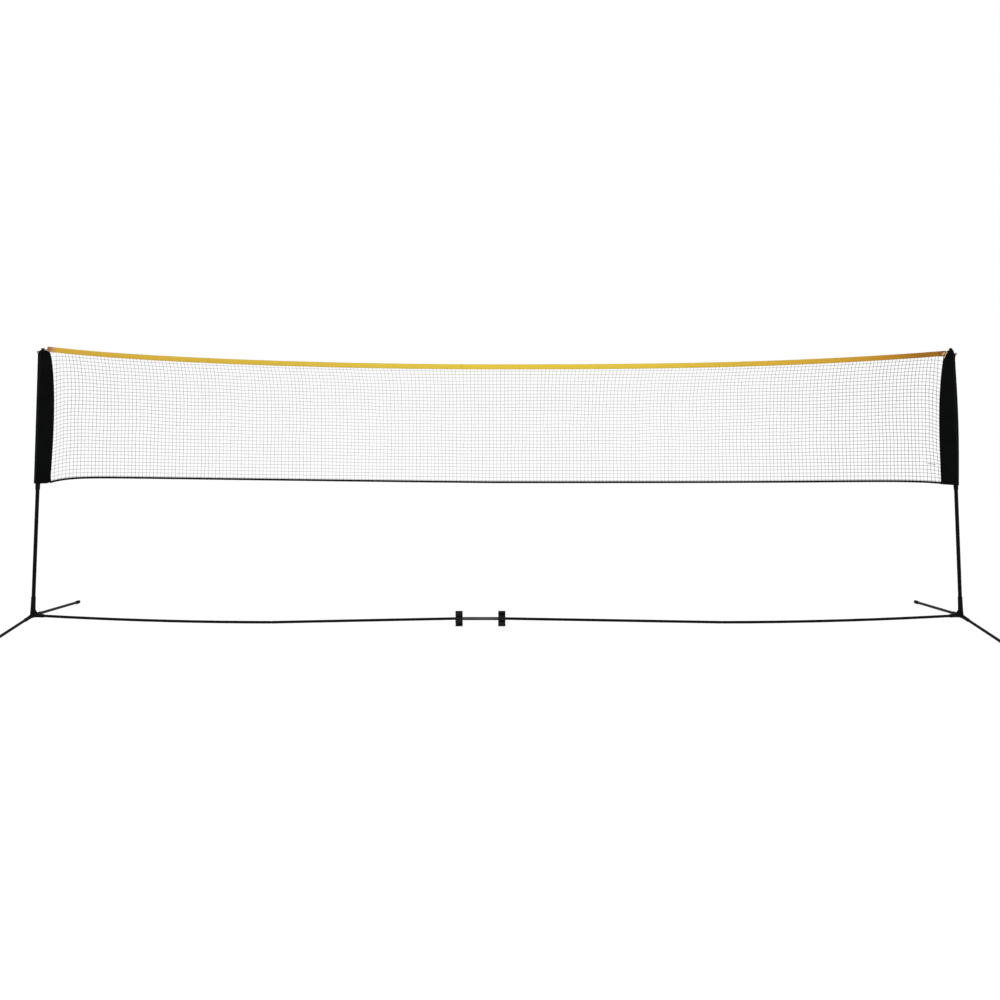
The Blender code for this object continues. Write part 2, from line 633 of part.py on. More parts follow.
def sleeve_ring(side, w, inside):
    """A closed section. The top edge dips under the end of the tape."""
    half = sleeve_outline(side, w, inside)
    outline = half + [(reach, -thick) for reach, thick in half[:0:-1]]
    patch_foot = tape_height(side * (POST_X - by_side(SLEEVE_TAIL, side))) - TAPE_HEIGHT / 2 - GAP
    tail_drop = max(0.0, SLEEVE_TOP - patch_foot)
    ring = []
    for reach, y in outline:
        inward = smoothstep(reach / PATCH_START)
        outward = smoothstep(-reach / by_side(SLEEVE_NOSE_TOP, side))
        top = SLEEVE_TOP - tail_drop * inward - SLEEVE_NOSE_DROP * outward
        ring.append(Vector((side * (POST_X - reach), y, top + (SLEEVE_BOTTOM - top) * w)))
    return ring


def sleeve(word, side):
    outside = [sleeve_ring(side, w, False) for w in SLEEVE_STATIONS]
    inside = [sleeve_ring(side, w, True) for w in SLEEVE_STATIONS]
    skin_object(f"side_sleeve_{word}", outside + inside[::-1], SLEEVE, closed=True, smooth=60)


# Top tape and its ends

def rod(name, radius, length, centre, way, steps=16):
    """A plain cylinder used to shape another piece."""
    half = length / 2
    profile = [(0, half), (radius, half), (radius, -half), (0, -half)]
    return guide(turned_object(name, profile, place(centre, way), PLASTIC, steps))


def swept_section(xs, section):
    """Carries an outline of (y, z) along the tape's line, with its z square to the line."""
    path = [Vector((x, 0, tape_height(x))) for x in xs]
    rings = []
    for point, ahead in zip(path, directions(path)):
        up = Vector((-ahead.z, 0, ahead.x)) * math.copysign(1, ahead.x)
        rings.append([point + Vector((0, y, 0)) + up * z for y, z in section])
    return rings


def tape():
    """A band folded over the top of the net."""
    inner = STRAND_THICKNESS / 2 + TAPE_ROOM
    outer = inner + TAPE_WALL
    high = TAPE_HEIGHT / 2
    section = [(-outer, -high), (-outer, high), (outer, high), (outer, -high), (inner, -high),
               (inner, high - TAPE_WALL), (-inner, high - TAPE_WALL), (-inner, -high)]
    end = TAPE_END_X - PATCH_LENGTH - GAP
    skin_object("top_tape", swept_section([-end] + COLUMN_XS + [end], section), TAPE)


def tape_end(word, side):
    """The sewn end of the tape with its eyelet, and the loop that holds it to the post cap."""
    thick = PATCH_THICKNESS / 2
    high = TAPE_HEIGHT / 2
    section = [(-thick, -high), (-thick, high), (thick, high), (thick, -high)]
    xs = sorted(side * x for x in spaced(TAPE_END_X - PATCH_LENGTH, TAPE_END_X, 3))
    made = skin_object(f"tape_end_{word}", swept_section(xs, section), PATCH)
    eyelet_x = side * (POST_X - EYELET_MIDDLE)
    eyelet = Vector((eyelet_x, 0, tape_height(eyelet_x)))
    combine(made, "DIFFERENCE",
            [rod(f"guide_eyelet_{word}", EYELET_RADIUS, PATCH_THICKNESS * 2, eyelet, (0, 1, 0), 12)])

    around_neck = UPPER_POST_RADIUS + LOOP_RADIUS + GAP
    around_strip = math.hypot(EYELET_STRIP / 2, thick) + LOOP_RADIUS + GAP
    lean = math.acos((around_neck - around_strip) / LOOP_REACH)
    path = []
    for a in spaced(lean, math.tau - lean, 10):
        path.append((around_neck * math.cos(a), around_neck * math.sin(a)))
    for a in spaced(-lean, lean, 8):
        path.append((LOOP_REACH + around_strip * math.cos(a), around_strip * math.sin(a)))
    neck_height = (NECK_FOOT + NECK_TOP) / 2
    line = []
    for reach, y in path:
        share = smoothstep((reach - around_neck) / (LOOP_REACH - around_neck))
        line.append(Vector((side * (POST_X - reach), y, neck_height + (eyelet.z - neck_height) * share)))
    rings = round_rings(line, [LOOP_RADIUS] * len(line), Vector((0, 0, 1)), 6, closed=True)
    skin_object(f"tape_loop_{word}", rings, LOOP, closed=True, smooth=70)


# Net and bottom cord

def net_point(column, row):
    """A crossing of the net. Rows run from the bottom cord to the fold of the tape."""
    x = COLUMN_XS[column]
    half = STRAND_WIDTH / 2
    low = cord_height(x) + CORD_RADIUS + 2 * GAP + half
    high = tape_height(x) + TAPE_HEIGHT / 2 - TAPE_WALL - 2 * GAP - half
    return x, low + (high - low) * row / NET_ROWS


def net():
    """Flat strands crossing at right angles, as one lattice with a gap in each square."""
    half = STRAND_WIDTH / 2
    bm = bmesh.new()
    corners = {}
    for column in range(NET_COLUMNS + 1):
        for row in range(NET_ROWS + 1):
            x, z = net_point(column, row)
            for i, j in ((-1, -1), (1, -1), (1, 1), (-1, 1)):
                corners[column, row, i, j] = bm.verts.new((x + i * half, -STRAND_THICKNESS / 2, z + j * half))
    for column in range(NET_COLUMNS + 1):
        for row in range(NET_ROWS + 1):
            c = {key: corners[column, row, *key] for key in ((-1, -1), (1, -1), (1, 1), (-1, 1))}
            bm.faces.new((c[-1, -1], c[1, -1], c[1, 1], c[-1, 1]))
            if column < NET_COLUMNS:
                bm.faces.new((c[1, -1], corners[column + 1, row, -1, -1],
                              corners[column + 1, row, -1, 1], c[1, 1]))
            if row < NET_ROWS:
                bm.faces.new((c[-1, 1], c[1, 1], corners[column, row + 1, 1, -1],
                              corners[column, row + 1, -1, -1]))
    extruded = bmesh.ops.extrude_face_region(bm, geom=list(bm.faces))
    moved = [item for item in extruded["geom"] if isinstance(item, bmesh.types.BMVert)]
    bmesh.ops.translate(bm, vec=(0, STRAND_THICKNESS, 0), verts=moved)
    as_object(bm, "net_mesh", NET)


def bottom_cord():
    corner = SLEEVE_BOTTOM + CORD_RADIUS
    left, right = CORD_ENDS
    line = [Vector((x, 0, corner)) for x in (-left, 2 * CORD_RADIUS - left)]
    line += [Vector((x, 0, cord_height(x))) for x in COLUMN_XS[1:-1]]
    line += [Vector((x, 0, corner)) for x in (right - 2 * CORD_RADIUS, right)]
    rings = round_rings(line, [CORD_RADIUS] * len(line), Vector((0, 1, 0)), 8)
    skin_object("bottom_cord", rings, CORD)


for word, side in SIDES:
    connector(word, side)
    leg(word, side, "front", -1)
    leg(word, side, "rear", 1)
    post(word, side)
    twist_lock(word, side)
    outer_section(word, side)
    inner_section(word, side)
    clip(word, side)
    sleeve(word, side)
    tape_end(word, side)
coupling()
tape()
net()
bottom_cord()
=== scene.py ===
import math

import bmesh
import bpy
from mathutils import Matrix, Vector, noise


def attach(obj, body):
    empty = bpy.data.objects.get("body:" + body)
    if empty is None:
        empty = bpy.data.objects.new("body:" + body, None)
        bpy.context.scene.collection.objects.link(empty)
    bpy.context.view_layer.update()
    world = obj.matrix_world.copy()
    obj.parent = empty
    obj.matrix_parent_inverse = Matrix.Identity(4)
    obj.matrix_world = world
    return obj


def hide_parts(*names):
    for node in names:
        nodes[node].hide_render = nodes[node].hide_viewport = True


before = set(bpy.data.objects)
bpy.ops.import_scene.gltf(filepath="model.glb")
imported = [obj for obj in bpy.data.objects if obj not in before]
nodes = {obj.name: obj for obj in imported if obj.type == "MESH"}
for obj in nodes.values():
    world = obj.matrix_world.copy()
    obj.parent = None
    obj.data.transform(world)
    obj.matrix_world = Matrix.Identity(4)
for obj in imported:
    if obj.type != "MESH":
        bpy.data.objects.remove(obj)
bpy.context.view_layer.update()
sideSign = {"left": -1, "right": 1}
scene = bpy.context.scene
print("frame loaded:", len(nodes), "nodes")


# Tools for meshes and shader nodes

def linkObject(name, data):
    made = bpy.data.objects.new(name, data)
    scene.collection.objects.link(made)
    return made


def meshFrom(name, bm):
    mesh = bpy.data.meshes.new(name)
    bm.to_mesh(mesh)
    bm.free()
    return mesh


def feed(tree, node, inputs):
    # an input takes the output that drives it, or a plain value
    for key, value in inputs.items():
        if isinstance(value, bpy.types.NodeSocket):
            tree.links.new(value, node.inputs[key])
        else:
            node.inputs[key].default_value = value
    return node


def addNode(tree, kind, inputs=None, **settings):
    node = tree.nodes.new("ShaderNode" + kind)
    for key, value in settings.items():
        setattr(node, key, value)
    return feed(tree, node, inputs or {})


def mathNode(tree, operation, first, second=None, clamp=False):
    inputs = {0: first} if second is None else {0: first, 1: second}
    return addNode(tree, "Math", inputs, operation=operation, use_clamp=clamp).outputs[0]


def times(tree, product, *values):
    for value in values:
        product = mathNode(tree, "MULTIPLY", product, value)
    return product


def ridge(tree, turn):
    return mathNode(tree, "ABSOLUTE", mathNode(tree, "SINE", turn))


def mapRange(tree, value, start=(0.0, 1.0), end=(0.0, 1.0)):
    return addNode(tree, "MapRange", {"Value": value, "From Min": start[0], "From Max": start[1],
                                      "To Min": end[0], "To Max": end[1]}).outputs[0]


def noiseAt(tree, place, scale, detail, roughness=0.5):
    return addNode(tree, "TexNoise", {"Vector": place, "Scale": scale, "Detail": detail,
                                      "Roughness": roughness}).outputs[0]


def bumpFrom(tree, height, distance, strength, before=None):
    inputs = {"Height": height, "Distance": distance, "Strength": strength}
    if before is not None:
        inputs["Normal"] = before
    return addNode(tree, "Bump", inputs).outputs[0]


def mixColours(tree, share, low, high, **settings):
    low, high = ((*value, 1) if isinstance(value, tuple) else value for value in (low, high))
    return addNode(tree, "Mix", {0: share, 6: low, 7: high}, data_type="RGBA", **settings).outputs[2]


def objectPlace(tree):
    return addNode(tree, "TexCoord").outputs["Object"]


def newFinish(name, look):
    # what a look gives under the name of a shader input goes straight to the shader
    finish = bpy.data.materials.new(name)
    finish.use_nodes = True
    tree = finish.node_tree
    shader = tree.nodes["Principled BSDF"]
    return finish, tree, feed(tree, shader, {key: look[key] for key in look if key in shader.inputs})


# Camera, lamps and stage

studio = {
    "lens": 30.03,                      # mm, on a 36 mm sensor
    "cameraPlace": (0.018, -4.740, 1.284),
    "cameraTilt": 4.0,                  # degrees above level
    "cameraShift": -0.1635,
    "worldLight": 0.62,
    "lampAim": (0, 0, 0.8),
    "lamps": {"keyLamp": {"place": (-2.6, -4.6, 4.4), "size": (3.6, 2.4), "watts": 150},
              "fillLamp": {"place": (3.4, -3.8, 3.0), "size": (3.0, 2.4), "watts": 60}},
    "floorColours": ((0.86, 0.86, 0.86), (0.88, 0.88, 0.88)),
    "floorDrop": 0.0004,                # below the feet
    "floorGlow": 0.80,                  # what the camera sees of the floor without its shading
    "floorWhite": 1.13,
}


def makeCamera():
    camera = linkObject("camera", bpy.data.cameras.new("camera"))
    camera.data.lens = studio["lens"]
    camera.data.sensor_width = 36
    camera.data.shift_y = studio["cameraShift"]
    camera.data.clip_end = 200
    camera.location = studio["cameraPlace"]
    camera.rotation_euler = (math.radians(90 + studio["cameraTilt"]), 0, 0)
    scene.camera = camera


def seenDirectly(tree):
    # 1 for what the camera, a mirror or glass sees, and 0 for what lights the object
    path = addNode(tree, "LightPath").outputs
    seen = mathNode(tree, "MAXIMUM", path["Is Camera Ray"], path["Is Glossy Ray"])
    return mathNode(tree, "MAXIMUM", seen, path["Is Transmission Ray"])


def makeWorld():
    world = bpy.data.worlds.new("whiteRoom")
    world.use_nodes = True
    tree = world.node_tree
    tree.nodes.clear()
    lit, shown = (addNode(tree, "Background", {"Color": (1, 1, 1, 1), "Strength": strength}).outputs[0]
                  for strength in (studio["worldLight"], 1.0))
    mix = addNode(tree, "MixShader", {0: seenDirectly(tree), 1: lit, 2: shown})
    addNode(tree, "OutputWorld", {0: mix.outputs[0]})
    scene.world = world


def addSoftbox(name, place, size, watts):
    lamp = bpy.data.lights.new(name, "AREA")
    lamp.shape = "RECTANGLE"
    lamp.size, lamp.size_y = size
    lamp.energy = watts
    made = linkObject(name, lamp)
    made.location = place
    made.rotation_euler = (Vector(studio["lampAim"]) - Vector(place)).to_track_quat("-Z", "Y").to_euler()


def makeFloor():
    bm = bmesh.new()
    bmesh.ops.create_grid(bm, x_segments=24, y_segments=24, size=60,
                          matrix=Matrix.Translation((0, 0, -studio["floorDrop"])))
    floor = linkObject("floor", meshFrom("floor", bm))
    finish, tree, shader = newFinish("studioFloor", {"Roughness": 0.9, "Specular IOR Level": 0.1})
    cloud = noiseAt(tree, objectPlace(tree), 0.7, 3.0)
    feed(tree, shader, {"Base Color": mixColours(tree, cloud, *studio["floorColours"])})
    glow = addNode(tree, "Emission", {"Color": (1, 1, 1, 1), "Strength": studio["floorWhite"]})
    share = times(tree, seenDirectly(tree), studio["floorGlow"])
    mix = addNode(tree, "MixShader", {0: share, 1: shader.outputs[0], 2: glow.outputs[0]})
    feed(tree, tree.nodes["Material Output"], {0: mix.outputs[0]})
    floor.data.materials.append(finish)


scene.view_settings.view_transform = "Standard"
makeCamera()
makeWorld()
for name, lamp in studio["lamps"].items():
    addSoftbox(name, **lamp)
makeFloor()
print("camera, lamps and floor made")


# The lines that the soft pieces share with the frame, in metres

layout = {
    "postX": 2.5825,
    "sleeveTop": 1.533,
    "sleeveBottom": 0.792,
    "tapeMiddle": 1.4429,
    "tapeRise": {"left": ((2, 0.0857), (9, 0.0158)), "right": ((2.65, 0.0774),)},  # powers and heights
    "tapeEndX": 2.55775,
    "tapeEndLength": 0.045,
    "tapeHeight": 0.0290,
    "cordMiddle": 0.7935,
    "cordLift": {"left": (0.0322, 1.14), "right": (0.0156, 3.96)},
    "cordEndX": {"left": 2.5117, "right": 2.4992},
    "cordCorner": {"left": 0.7940, "right": 0.7893},
    "cordDrop": {"left": 0.104, "right": 0.215},        # how far from its ends the cord turns down
    "cordRadius": 0.0057,
}


def sideOf(x):
    return "left" if x < 0 else "right"


def fromPost(word, reach):
    # x at a distance from a post's axis, towards the net
    return sideSign[word] * (layout["postX"] - reach)


def smoothStep(t):
    t = min(1.0, max(0.0, t))
    return t * t * (3 - 2 * t)


def between(low, high, share):
    return low + (high - low) * share


def shares(count):
    return [k / count for k in range(count + 1)]


def turnsRound(count):
    return [math.tau * k / count for k in range(count)]


def tapeLine(x):
    t = abs(x) / layout["tapeEndX"]
    return layout["tapeMiddle"] + sum(rise * t ** power for power, rise in layout["tapeRise"][sideOf(x)])


def cordLine(x):
    word = sideOf(x)
    end = layout["cordEndX"][word]
    lift, power = layout["cordLift"][word]
    run = layout["cordMiddle"] + lift * (abs(x) / end) ** power
    nearEnd = math.exp(-max(0.0, end - abs(x)) / layout["cordDrop"][word])
    return between(run, layout["cordCorner"][word], nearEnd)


def wander(spot, scale, size):
    # smooth unevenness that is the same in every run
    return noise.noise(Vector(spot) * scale) * size


# Shader effects that several finishes share

def grainEffect(tree, given):
    # fine unevenness for a bump, and broad soft patches for colour and gloss
    fine = noiseAt(tree, given["Place"], given["Scale"], 4.0, 0.6)
    broad = noiseAt(tree, given["Place"], times(tree, given["Scale"], 0.02), 5.0, 0.55)
    return {"Height": fine, "Patches": mapRange(tree, broad, (0.3, 0.7))}


def scratchEffect(tree, given):
    # fine scratches, drawn out along the axis that Stretch leaves long
    drawn = addNode(tree, "VectorMath", {0: given["Place"], 1: given["Stretch"]}, operation="MULTIPLY")
    lines = mapRange(tree, noiseAt(tree, drawn.outputs[0], 1.0, 6.0, 0.65), (0.60, 0.68))
    worn = mapRange(tree, noiseAt(tree, given["Place"], 9.0, 3.0), (0.42, 0.62))
    return {"Mask": times(tree, lines, worn, given["Amount"])}


def dustEffect(tree, given):
    # a thin film on what faces up
    top = mapRange(tree, given["Upward"], (0.1, 1.0))
    soft = mapRange(tree, noiseAt(tree, given["Place"], 45.0, 8.0, 0.7), (0.35, 0.75))
    return {"Mask": times(tree, top, soft, given["Amount"])}


def weaveEffect(tree, given):
    # plain weave: Place in metres, Across and Along in threads to the metre
    split = addNode(tree, "SeparateXYZ", {0: given["Place"]}).outputs
    ways = [times(tree, split[k], given[way]) for k, way in enumerate(("Across", "Along"))]
    ridges = [ridge(tree, times(tree, way, math.pi)) for way in ways]
    steps = mathNode(tree, "ADD", *(mathNode(tree, "FLOOR", way) for way in ways))
    over = mathNode(tree, "FLOORED_MODULO", steps, 2.0)
    height = addNode(tree, "Mix", {0: over, 2: ridges[0], 3: ridges[1]}).outputs[0]
    # Shade is a random slub tone times painted shade that darkens the colour where the weave lies low between
    # threads
    slub = noiseAt(tree, given["Place"], 260.0, 2.0)
    return {"Height": height, "Shade": times(tree, slub, mathNode(tree, "ADD", height, 0.4))}


def twistEffect(tree, given):
    # yarns laid round a strand; Rope holds the direction round it and the metres along it
    split = addNode(tree, "SeparateXYZ", {0: given["Rope"]}).outputs
    turn = times(tree, mathNode(tree, "ARCTAN2", split[1], split[0]), 0.5, given["Yarns"])
    run = times(tree, split[2], math.pi, given["Turns"])
    one, other = (ridge(tree, mathNode(tree, way, turn, run)) for way in ("ADD", "SUBTRACT"))
    return {"Height": mathNode(tree, "MAXIMUM", one, times(tree, other, given["Braid"]))}


def makeEffect(name, build, **inputs):
    # a node group whose inputs start at these values, or at None where they are vectors
    group = bpy.data.node_groups.new(name, "ShaderNodeTree")
    for label, start in inputs.items():
        kind = "NodeSocketVector" if start is None else "NodeSocketFloat"
        socket = group.interface.new_socket(label, in_out="INPUT", socket_type=kind)
        if start is not None:
            socket.default_value = start
    results = build(group, group.nodes.new("NodeGroupInput").outputs)
    for label in results:
        group.interface.new_socket(label, in_out="OUTPUT", socket_type="NodeSocketFloat")
    feed(group, group.nodes.new("NodeGroupOutput"), results)
    return group


effects = {
    "grain": makeEffect("surfaceGrain", grainEffect, Place=None, Scale=900.0),
    "scratches": makeEffect("fineScratches", scratchEffect, Place=None, Stretch=None, Amount=0.2),
    "dust": makeEffect("dustFilm", dustEffect, Place=None, Upward=0.0, Amount=0.2),
    "weave": makeEffect("plainWeave", weaveEffect, Place=None, Across=900.0, Along=900.0),
    "twist": makeEffect("twistedYarn", twistEffect, Rope=None, Yarns=3.0, Turns=200.0, Braid=0.0),
}


def placeEffect(tree, name, inputs):
    return addNode(tree, "Group", inputs, node_tree=effects[name]).outputs


# Finishes

dustColour = (0.30, 0.29, 0.27)


def toneAlong(tree, place, colour, look):
    # tints a colour with tones that change from the left post to the right one
    reach = 2.6
    along = addNode(tree, "SeparateXYZ", {0: place}).outputs[0]
    tones = addNode(tree, "ValToRGB", {0: mapRange(tree, along, (-reach, reach))})
    stops = tones.color_ramp.elements
    while len(stops) < len(look["tones"]):
        stops.new(0.5)
    for stop, (x, tone) in zip(stops, sorted(look["tones"].items())):
        stop.position = (x + reach) / (2 * reach)
        stop.color = (*tone, 1)
    return mixColours(tree, look["tint"], colour, tones.outputs[0])


def startFinish(name, look):
    # what all finishes share: grain, and a colour that changes in soft patches
    finish, tree, shader = newFinish(name, look)
    place = objectPlace(tree)
    grain = placeEffect(tree, "grain", {"Place": place, "Scale": look["grainScale"]})
    colour = mixColours(tree, grain["Patches"], look["colour"], look["patchColour"])
    if "tones" in look:
        colour = toneAlong(tree, place, colour, look)
    finishes[name] = finish
    return tree, shader, colour, grain


def rigidFinish(name, look):
    # length scratches, a dust film and a fine grain on one hard surface
    tree, shader, colour, grain = startFinish(name, look)
    place = objectPlace(tree)
    facing = addNode(tree, "SeparateXYZ", {0: addNode(tree, "NewGeometry").outputs["Normal"]}).outputs
    scratches = placeEffect(tree, "scratches", {"Place": place, "Stretch": look["stretch"],
                                                "Amount": look["scratches"]})
    dust = placeEffect(tree, "dust", {"Place": place, "Upward": facing[2], "Amount": look["dust"]})
    colour = mixColours(tree, scratches["Mask"], colour, look["wornColour"])
    rough = mapRange(tree, grain["Patches"], end=look["gloss"])
    rounded = addNode(tree, "Bevel", {"Radius": look["edge"]}, samples=8).outputs[0]   # softens facets
    feed(tree, shader, {
        "Base Color": mixColours(tree, dust["Mask"], colour, dustColour),
        "Roughness": mathNode(tree, "ADD", rough, dust["Mask"], clamp=True),
        "Normal": bumpFrom(tree, grain["Height"], look["grainDepth"], 0.6, rounded)})


def clothFinish(name, look):
    # woven cloth: the weave reads the piece's own map in metres, broad tones its place
    tree, shader, colour, grain = startFinish(name, look)
    cut = addNode(tree, "UVMap", uv_map="cut").outputs[0]
    weave = placeEffect(tree, "weave", {"Place": cut, "Across": look["across"], "Along": look["along"]})
    # painted shade: the weave's Shade darkens the cloth's colour between the threads, besides its random slub
    # tone
    colour = mixColours(tree, look["shade"], colour, weave["Shade"], blend_type="MULTIPLY")
    evened = (1 + look["shade"] * 0.55,) * 3        # makes up for what the shade takes
    creases = bumpFrom(tree, grain["Patches"], look["crease"], 0.5)
    feed(tree, shader, {
        "Base Color": mixColours(tree, 1.0, colour, evened, blend_type="MULTIPLY"),
        "Roughness": mapRange(tree, weave["Height"], end=look["gloss"]),
        "Normal": bumpFrom(tree, weave["Height"], look["depth"], 0.7, creases)})


def strandFinish(name, look):
    # twisted or braided cord: the lay reads the strand's own rope attribute
    tree, shader, colour = startFinish(name, look)[:3]
    rope = addNode(tree, "Attribute", attribute_name="rope").outputs["Vector"]
    twist = placeEffect(tree, "twist", {"Rope": rope, "Yarns": look["yarns"], "Turns": look["turns"],
                                        "Braid": look["braid"]})
    # painted shade: the colour darkens in the grooves between the yarns
    grooves = mapRange(tree, twist["Height"], end=(0.35, 1.0))
    feed(tree, shader, {
        "Base Color": mixColours(tree, 1.0, colour, grooves, blend_type="MULTIPLY"),
        "Normal": bumpFrom(tree, twist["Height"], look["depth"], 0.8)})


paintLook = {
    "Specular IOR Level": 0.05,
    "colour": (0.0012, 0.0012, 0.0013), "patchColour": (0.0026, 0.0026, 0.0028),
    "wornColour": (0.022, 0.022, 0.023), "stretch": (420, 420, 9), "scratches": 0.25, "dust": 0.008,
    "gloss": (0.30, 0.42), "grainScale": 1500.0, "grainDepth": 0.00005, "edge": 0.0022,
}
plasticLook = {
    "Specular IOR Level": 0.06,
    "colour": (0.0016, 0.0016, 0.0017), "patchColour": (0.0034, 0.0034, 0.0036),
    "wornColour": (0.022, 0.022, 0.023), "stretch": (240, 240, 240), "scratches": 0.20, "dust": 0.008,
    "gloss": (0.46, 0.60), "grainScale": 2600.0, "grainDepth": 0.00007, "edge": 0.0014,
}
rigidLooks = {
    "postPaint": paintLook,
    "legPaint": {**paintLook, "stretch": (420, 9, 420)},
    "barPaint": {**paintLook, "stretch": (9, 420, 420), "dust": 0.02},
    "clipPlastic": {**plasticLook, "Specular IOR Level": 0.12,
                    "colour": (0.0022, 0.0022, 0.0024), "patchColour": (0.0046, 0.0046, 0.0048)},
    "blackPlastic": plasticLook,
    "footRubber": {
        "Specular IOR Level": 0.08,
        "colour": (0.0030, 0.0030, 0.0031), "patchColour": (0.0070, 0.0069, 0.0068),
        "wornColour": (0.040, 0.039, 0.037), "stretch": (300, 90, 300), "scratches": 0.40, "dust": 0.05,
        "gloss": (0.78, 0.92), "grainScale": 1200.0, "grainDepth": 0.00012, "edge": 0.0016,
    },
    "couplingSteel": {
        "Metallic": 0.55, "Specular IOR Level": 0.3,
        "colour": (0.034, 0.034, 0.035), "patchColour": (0.060, 0.060, 0.062),
        "wornColour": (0.26, 0.26, 0.26), "stretch": (9, 420, 420), "scratches": 0.55, "dust": 0.05,
        "gloss": (0.30, 0.44), "grainScale": 1400.0, "grainDepth": 0.00004, "edge": 0.0022,
    },
    "palePlastic": {
        "Specular IOR Level": 0.4,
        "colour": (0.50, 0.50, 0.48), "patchColour": (0.60, 0.60, 0.58),
        "wornColour": (0.34, 0.33, 0.31), "stretch": (240, 240, 240), "scratches": 0.30, "dust": 0.05,
        "gloss": (0.42, 0.56), "grainScale": 2200.0, "grainDepth": 0.00005, "edge": 0.0012,
    },
}
sleeveLook = {
    "Specular IOR Level": 0.03, "Sheen Weight": 0.004, "Sheen Roughness": 0.5,
    "colour": (0.0016, 0.0019, 0.0018), "patchColour": (0.0026, 0.0030, 0.0029),
    "across": 1300.0, "along": 1150.0, "shade": 0.5, "gloss": (0.62, 0.85), "grainScale": 700.0,
    "crease": 0.0012, "depth": 0.00018,
}
patchLook = {
    "Specular IOR Level": 0.1, "Sheen Weight": 0.01, "Sheen Roughness": 0.5,
    "colour": (0.20, 0.085, 0.028), "patchColour": (0.36, 0.185, 0.068),
    "across": 700.0, "along": 700.0, "shade": 0.45, "gloss": (0.7, 0.85), "grainScale": 4000.0,
    "crease": 0.0012, "depth": 0.00025,
}
clothLooks = {                  # tones are given by metres along the net, tint is their share
    "sleeveCloth": sleeveLook,
    "sleeveBinding": {
        **sleeveLook, "colour": (0.0008, 0.0009, 0.0009), "patchColour": (0.0014, 0.0015, 0.0015),
        "across": 420.0, "along": 1500.0, "depth": 0.0002, "crease": 0.0002,
    },
    # painted light and shade: the tape's tones run lighter in the middle and darker towards both ends,
    # darkest at the right end
    "tapeCloth": {
        "Specular IOR Level": 0.12, "Sheen Weight": 0.02, "Sheen Roughness": 0.4,
        "colour": (0.60, 0.39, 0.040), "patchColour": (0.70, 0.49, 0.060),
        "across": 900.0, "along": 620.0, "shade": 0.35, "gloss": (0.55, 0.75), "grainScale": 900.0,
        "crease": 0.0006, "depth": 0.00022, "tint": 0.86,
        "tones": {-2.52: (0.56, 0.345, 0.036), -1.0: (0.64, 0.45, 0.050), -0.1: (0.72, 0.54, 0.052),
                  0.9: (0.70, 0.50, 0.050), 1.95: (0.56, 0.31, 0.026), 2.22: (0.44, 0.185, 0.012),
                  2.42: (0.24, 0.080, 0.002)},
    },
    # painted light and shade: the patch tones copy the shading across each sewn end, with a painted highlight
    # near the left patch's inner edge and the right patch darker overall
    "patchCloth": {
        **patchLook, "tint": 0.86,
        "tones": {-2.57: (0.33, 0.115, 0.040), -2.53: (0.42, 0.20, 0.065), -2.516: (0.58, 0.36, 0.16),
                  2.515: (0.26, 0.085, 0.004), 2.524: (0.30, 0.10, 0.010), 2.530: (0.16, 0.045, 0.022),
                  2.56: (0.20, 0.085, 0.010)},
    },
    "strapCloth": {**patchLook, "colour": (0.50, 0.35, 0.18), "patchColour": (0.60, 0.46, 0.27)},
}
cordLook = {
    "Specular IOR Level": 0.06, "Roughness": 0.72,
    "colour": (0.0030, 0.0030, 0.0030), "patchColour": (0.0060, 0.0060, 0.0060),
    "yarns": 8.0, "turns": 110.0, "braid": 1.0, "grainScale": 900.0, "depth": 0.0005,
}
loopLook = {
    "Specular IOR Level": 0.3, "Roughness": 0.6,
    "colour": (0.42, 0.46, 0.36), "patchColour": (0.52, 0.55, 0.46),
    "yarns": 3.0, "turns": 170.0, "braid": 0.0, "grainScale": 2500.0, "depth": 0.0003,
}
strandLooks = {
    "netTwine": {
        "Specular IOR Level": 0.2, "Roughness": 0.7,
        "colour": (0.012, 0.012, 0.012), "patchColour": (0.026, 0.026, 0.027),
        "yarns": 3.0, "turns": 330.0, "braid": 0.0, "grainScale": 400.0, "depth": 0.00012, "tint": 0.75,
        "tones": {-2.5: (0.012, 0.012, 0.012), -1.6: (0.050, 0.050, 0.051), 0.0: (0.070, 0.070, 0.072),
                  1.6: (0.020, 0.020, 0.020), 2.3: (0.003, 0.003, 0.003)},
    },
    "cordCover": cordLook,
    # the loop cord turns near black where it goes round each cap's neck
    "loopCord": {
        **loopLook, "tint": 0.97,
        "tones": {-2.5735: (0.010, 0.010, 0.011), -2.5700: (0.44, 0.48, 0.38),
                  2.5700: (0.40, 0.46, 0.36), 2.5735: (0.010, 0.010, 0.014)},
    },
    "blackThread": {**cordLook, "yarns": 2.0, "braid": 0.0},
    "yellowThread": {**loopLook, "colour": (0.55, 0.34, 0.05), "patchColour": (0.70, 0.48, 0.09)},
}
finishes = {}
for addFinish, looks in ((rigidFinish, rigidLooks), (clothFinish, clothLooks), (strandFinish, strandLooks)):
    for name, look in looks.items():
        addFinish(name, look)
print("finishes made:", len(finishes))


# Rigid nodes keep their CAD shape and take their finish by slot

slotFinish = {"black_plastic": "blackPlastic", "foot_rubber": "footRubber",
              "grey_coupling": "couplingSteel", "pale_plastic": "palePlastic"}


def steelFinish(node):
    if node.startswith("leg_"):
        return "legPaint"
    return "barPaint" if node.startswith("bar_") else "postPaint"


def dressNodes():
    for name, node in nodes.items():
        for slot in node.material_slots:
            family = slot.material.name.split(".")[0]
            if family == "black_steel":
                slot.material = finishes[steelFinish(name)]
            elif family in slotFinish:
                slot.material = finishes["clipPlastic" if name.startswith("bar_clip") else slotFinish[family]]


dressNodes()
print("rigid nodes dressed")


# Tools for new pieces

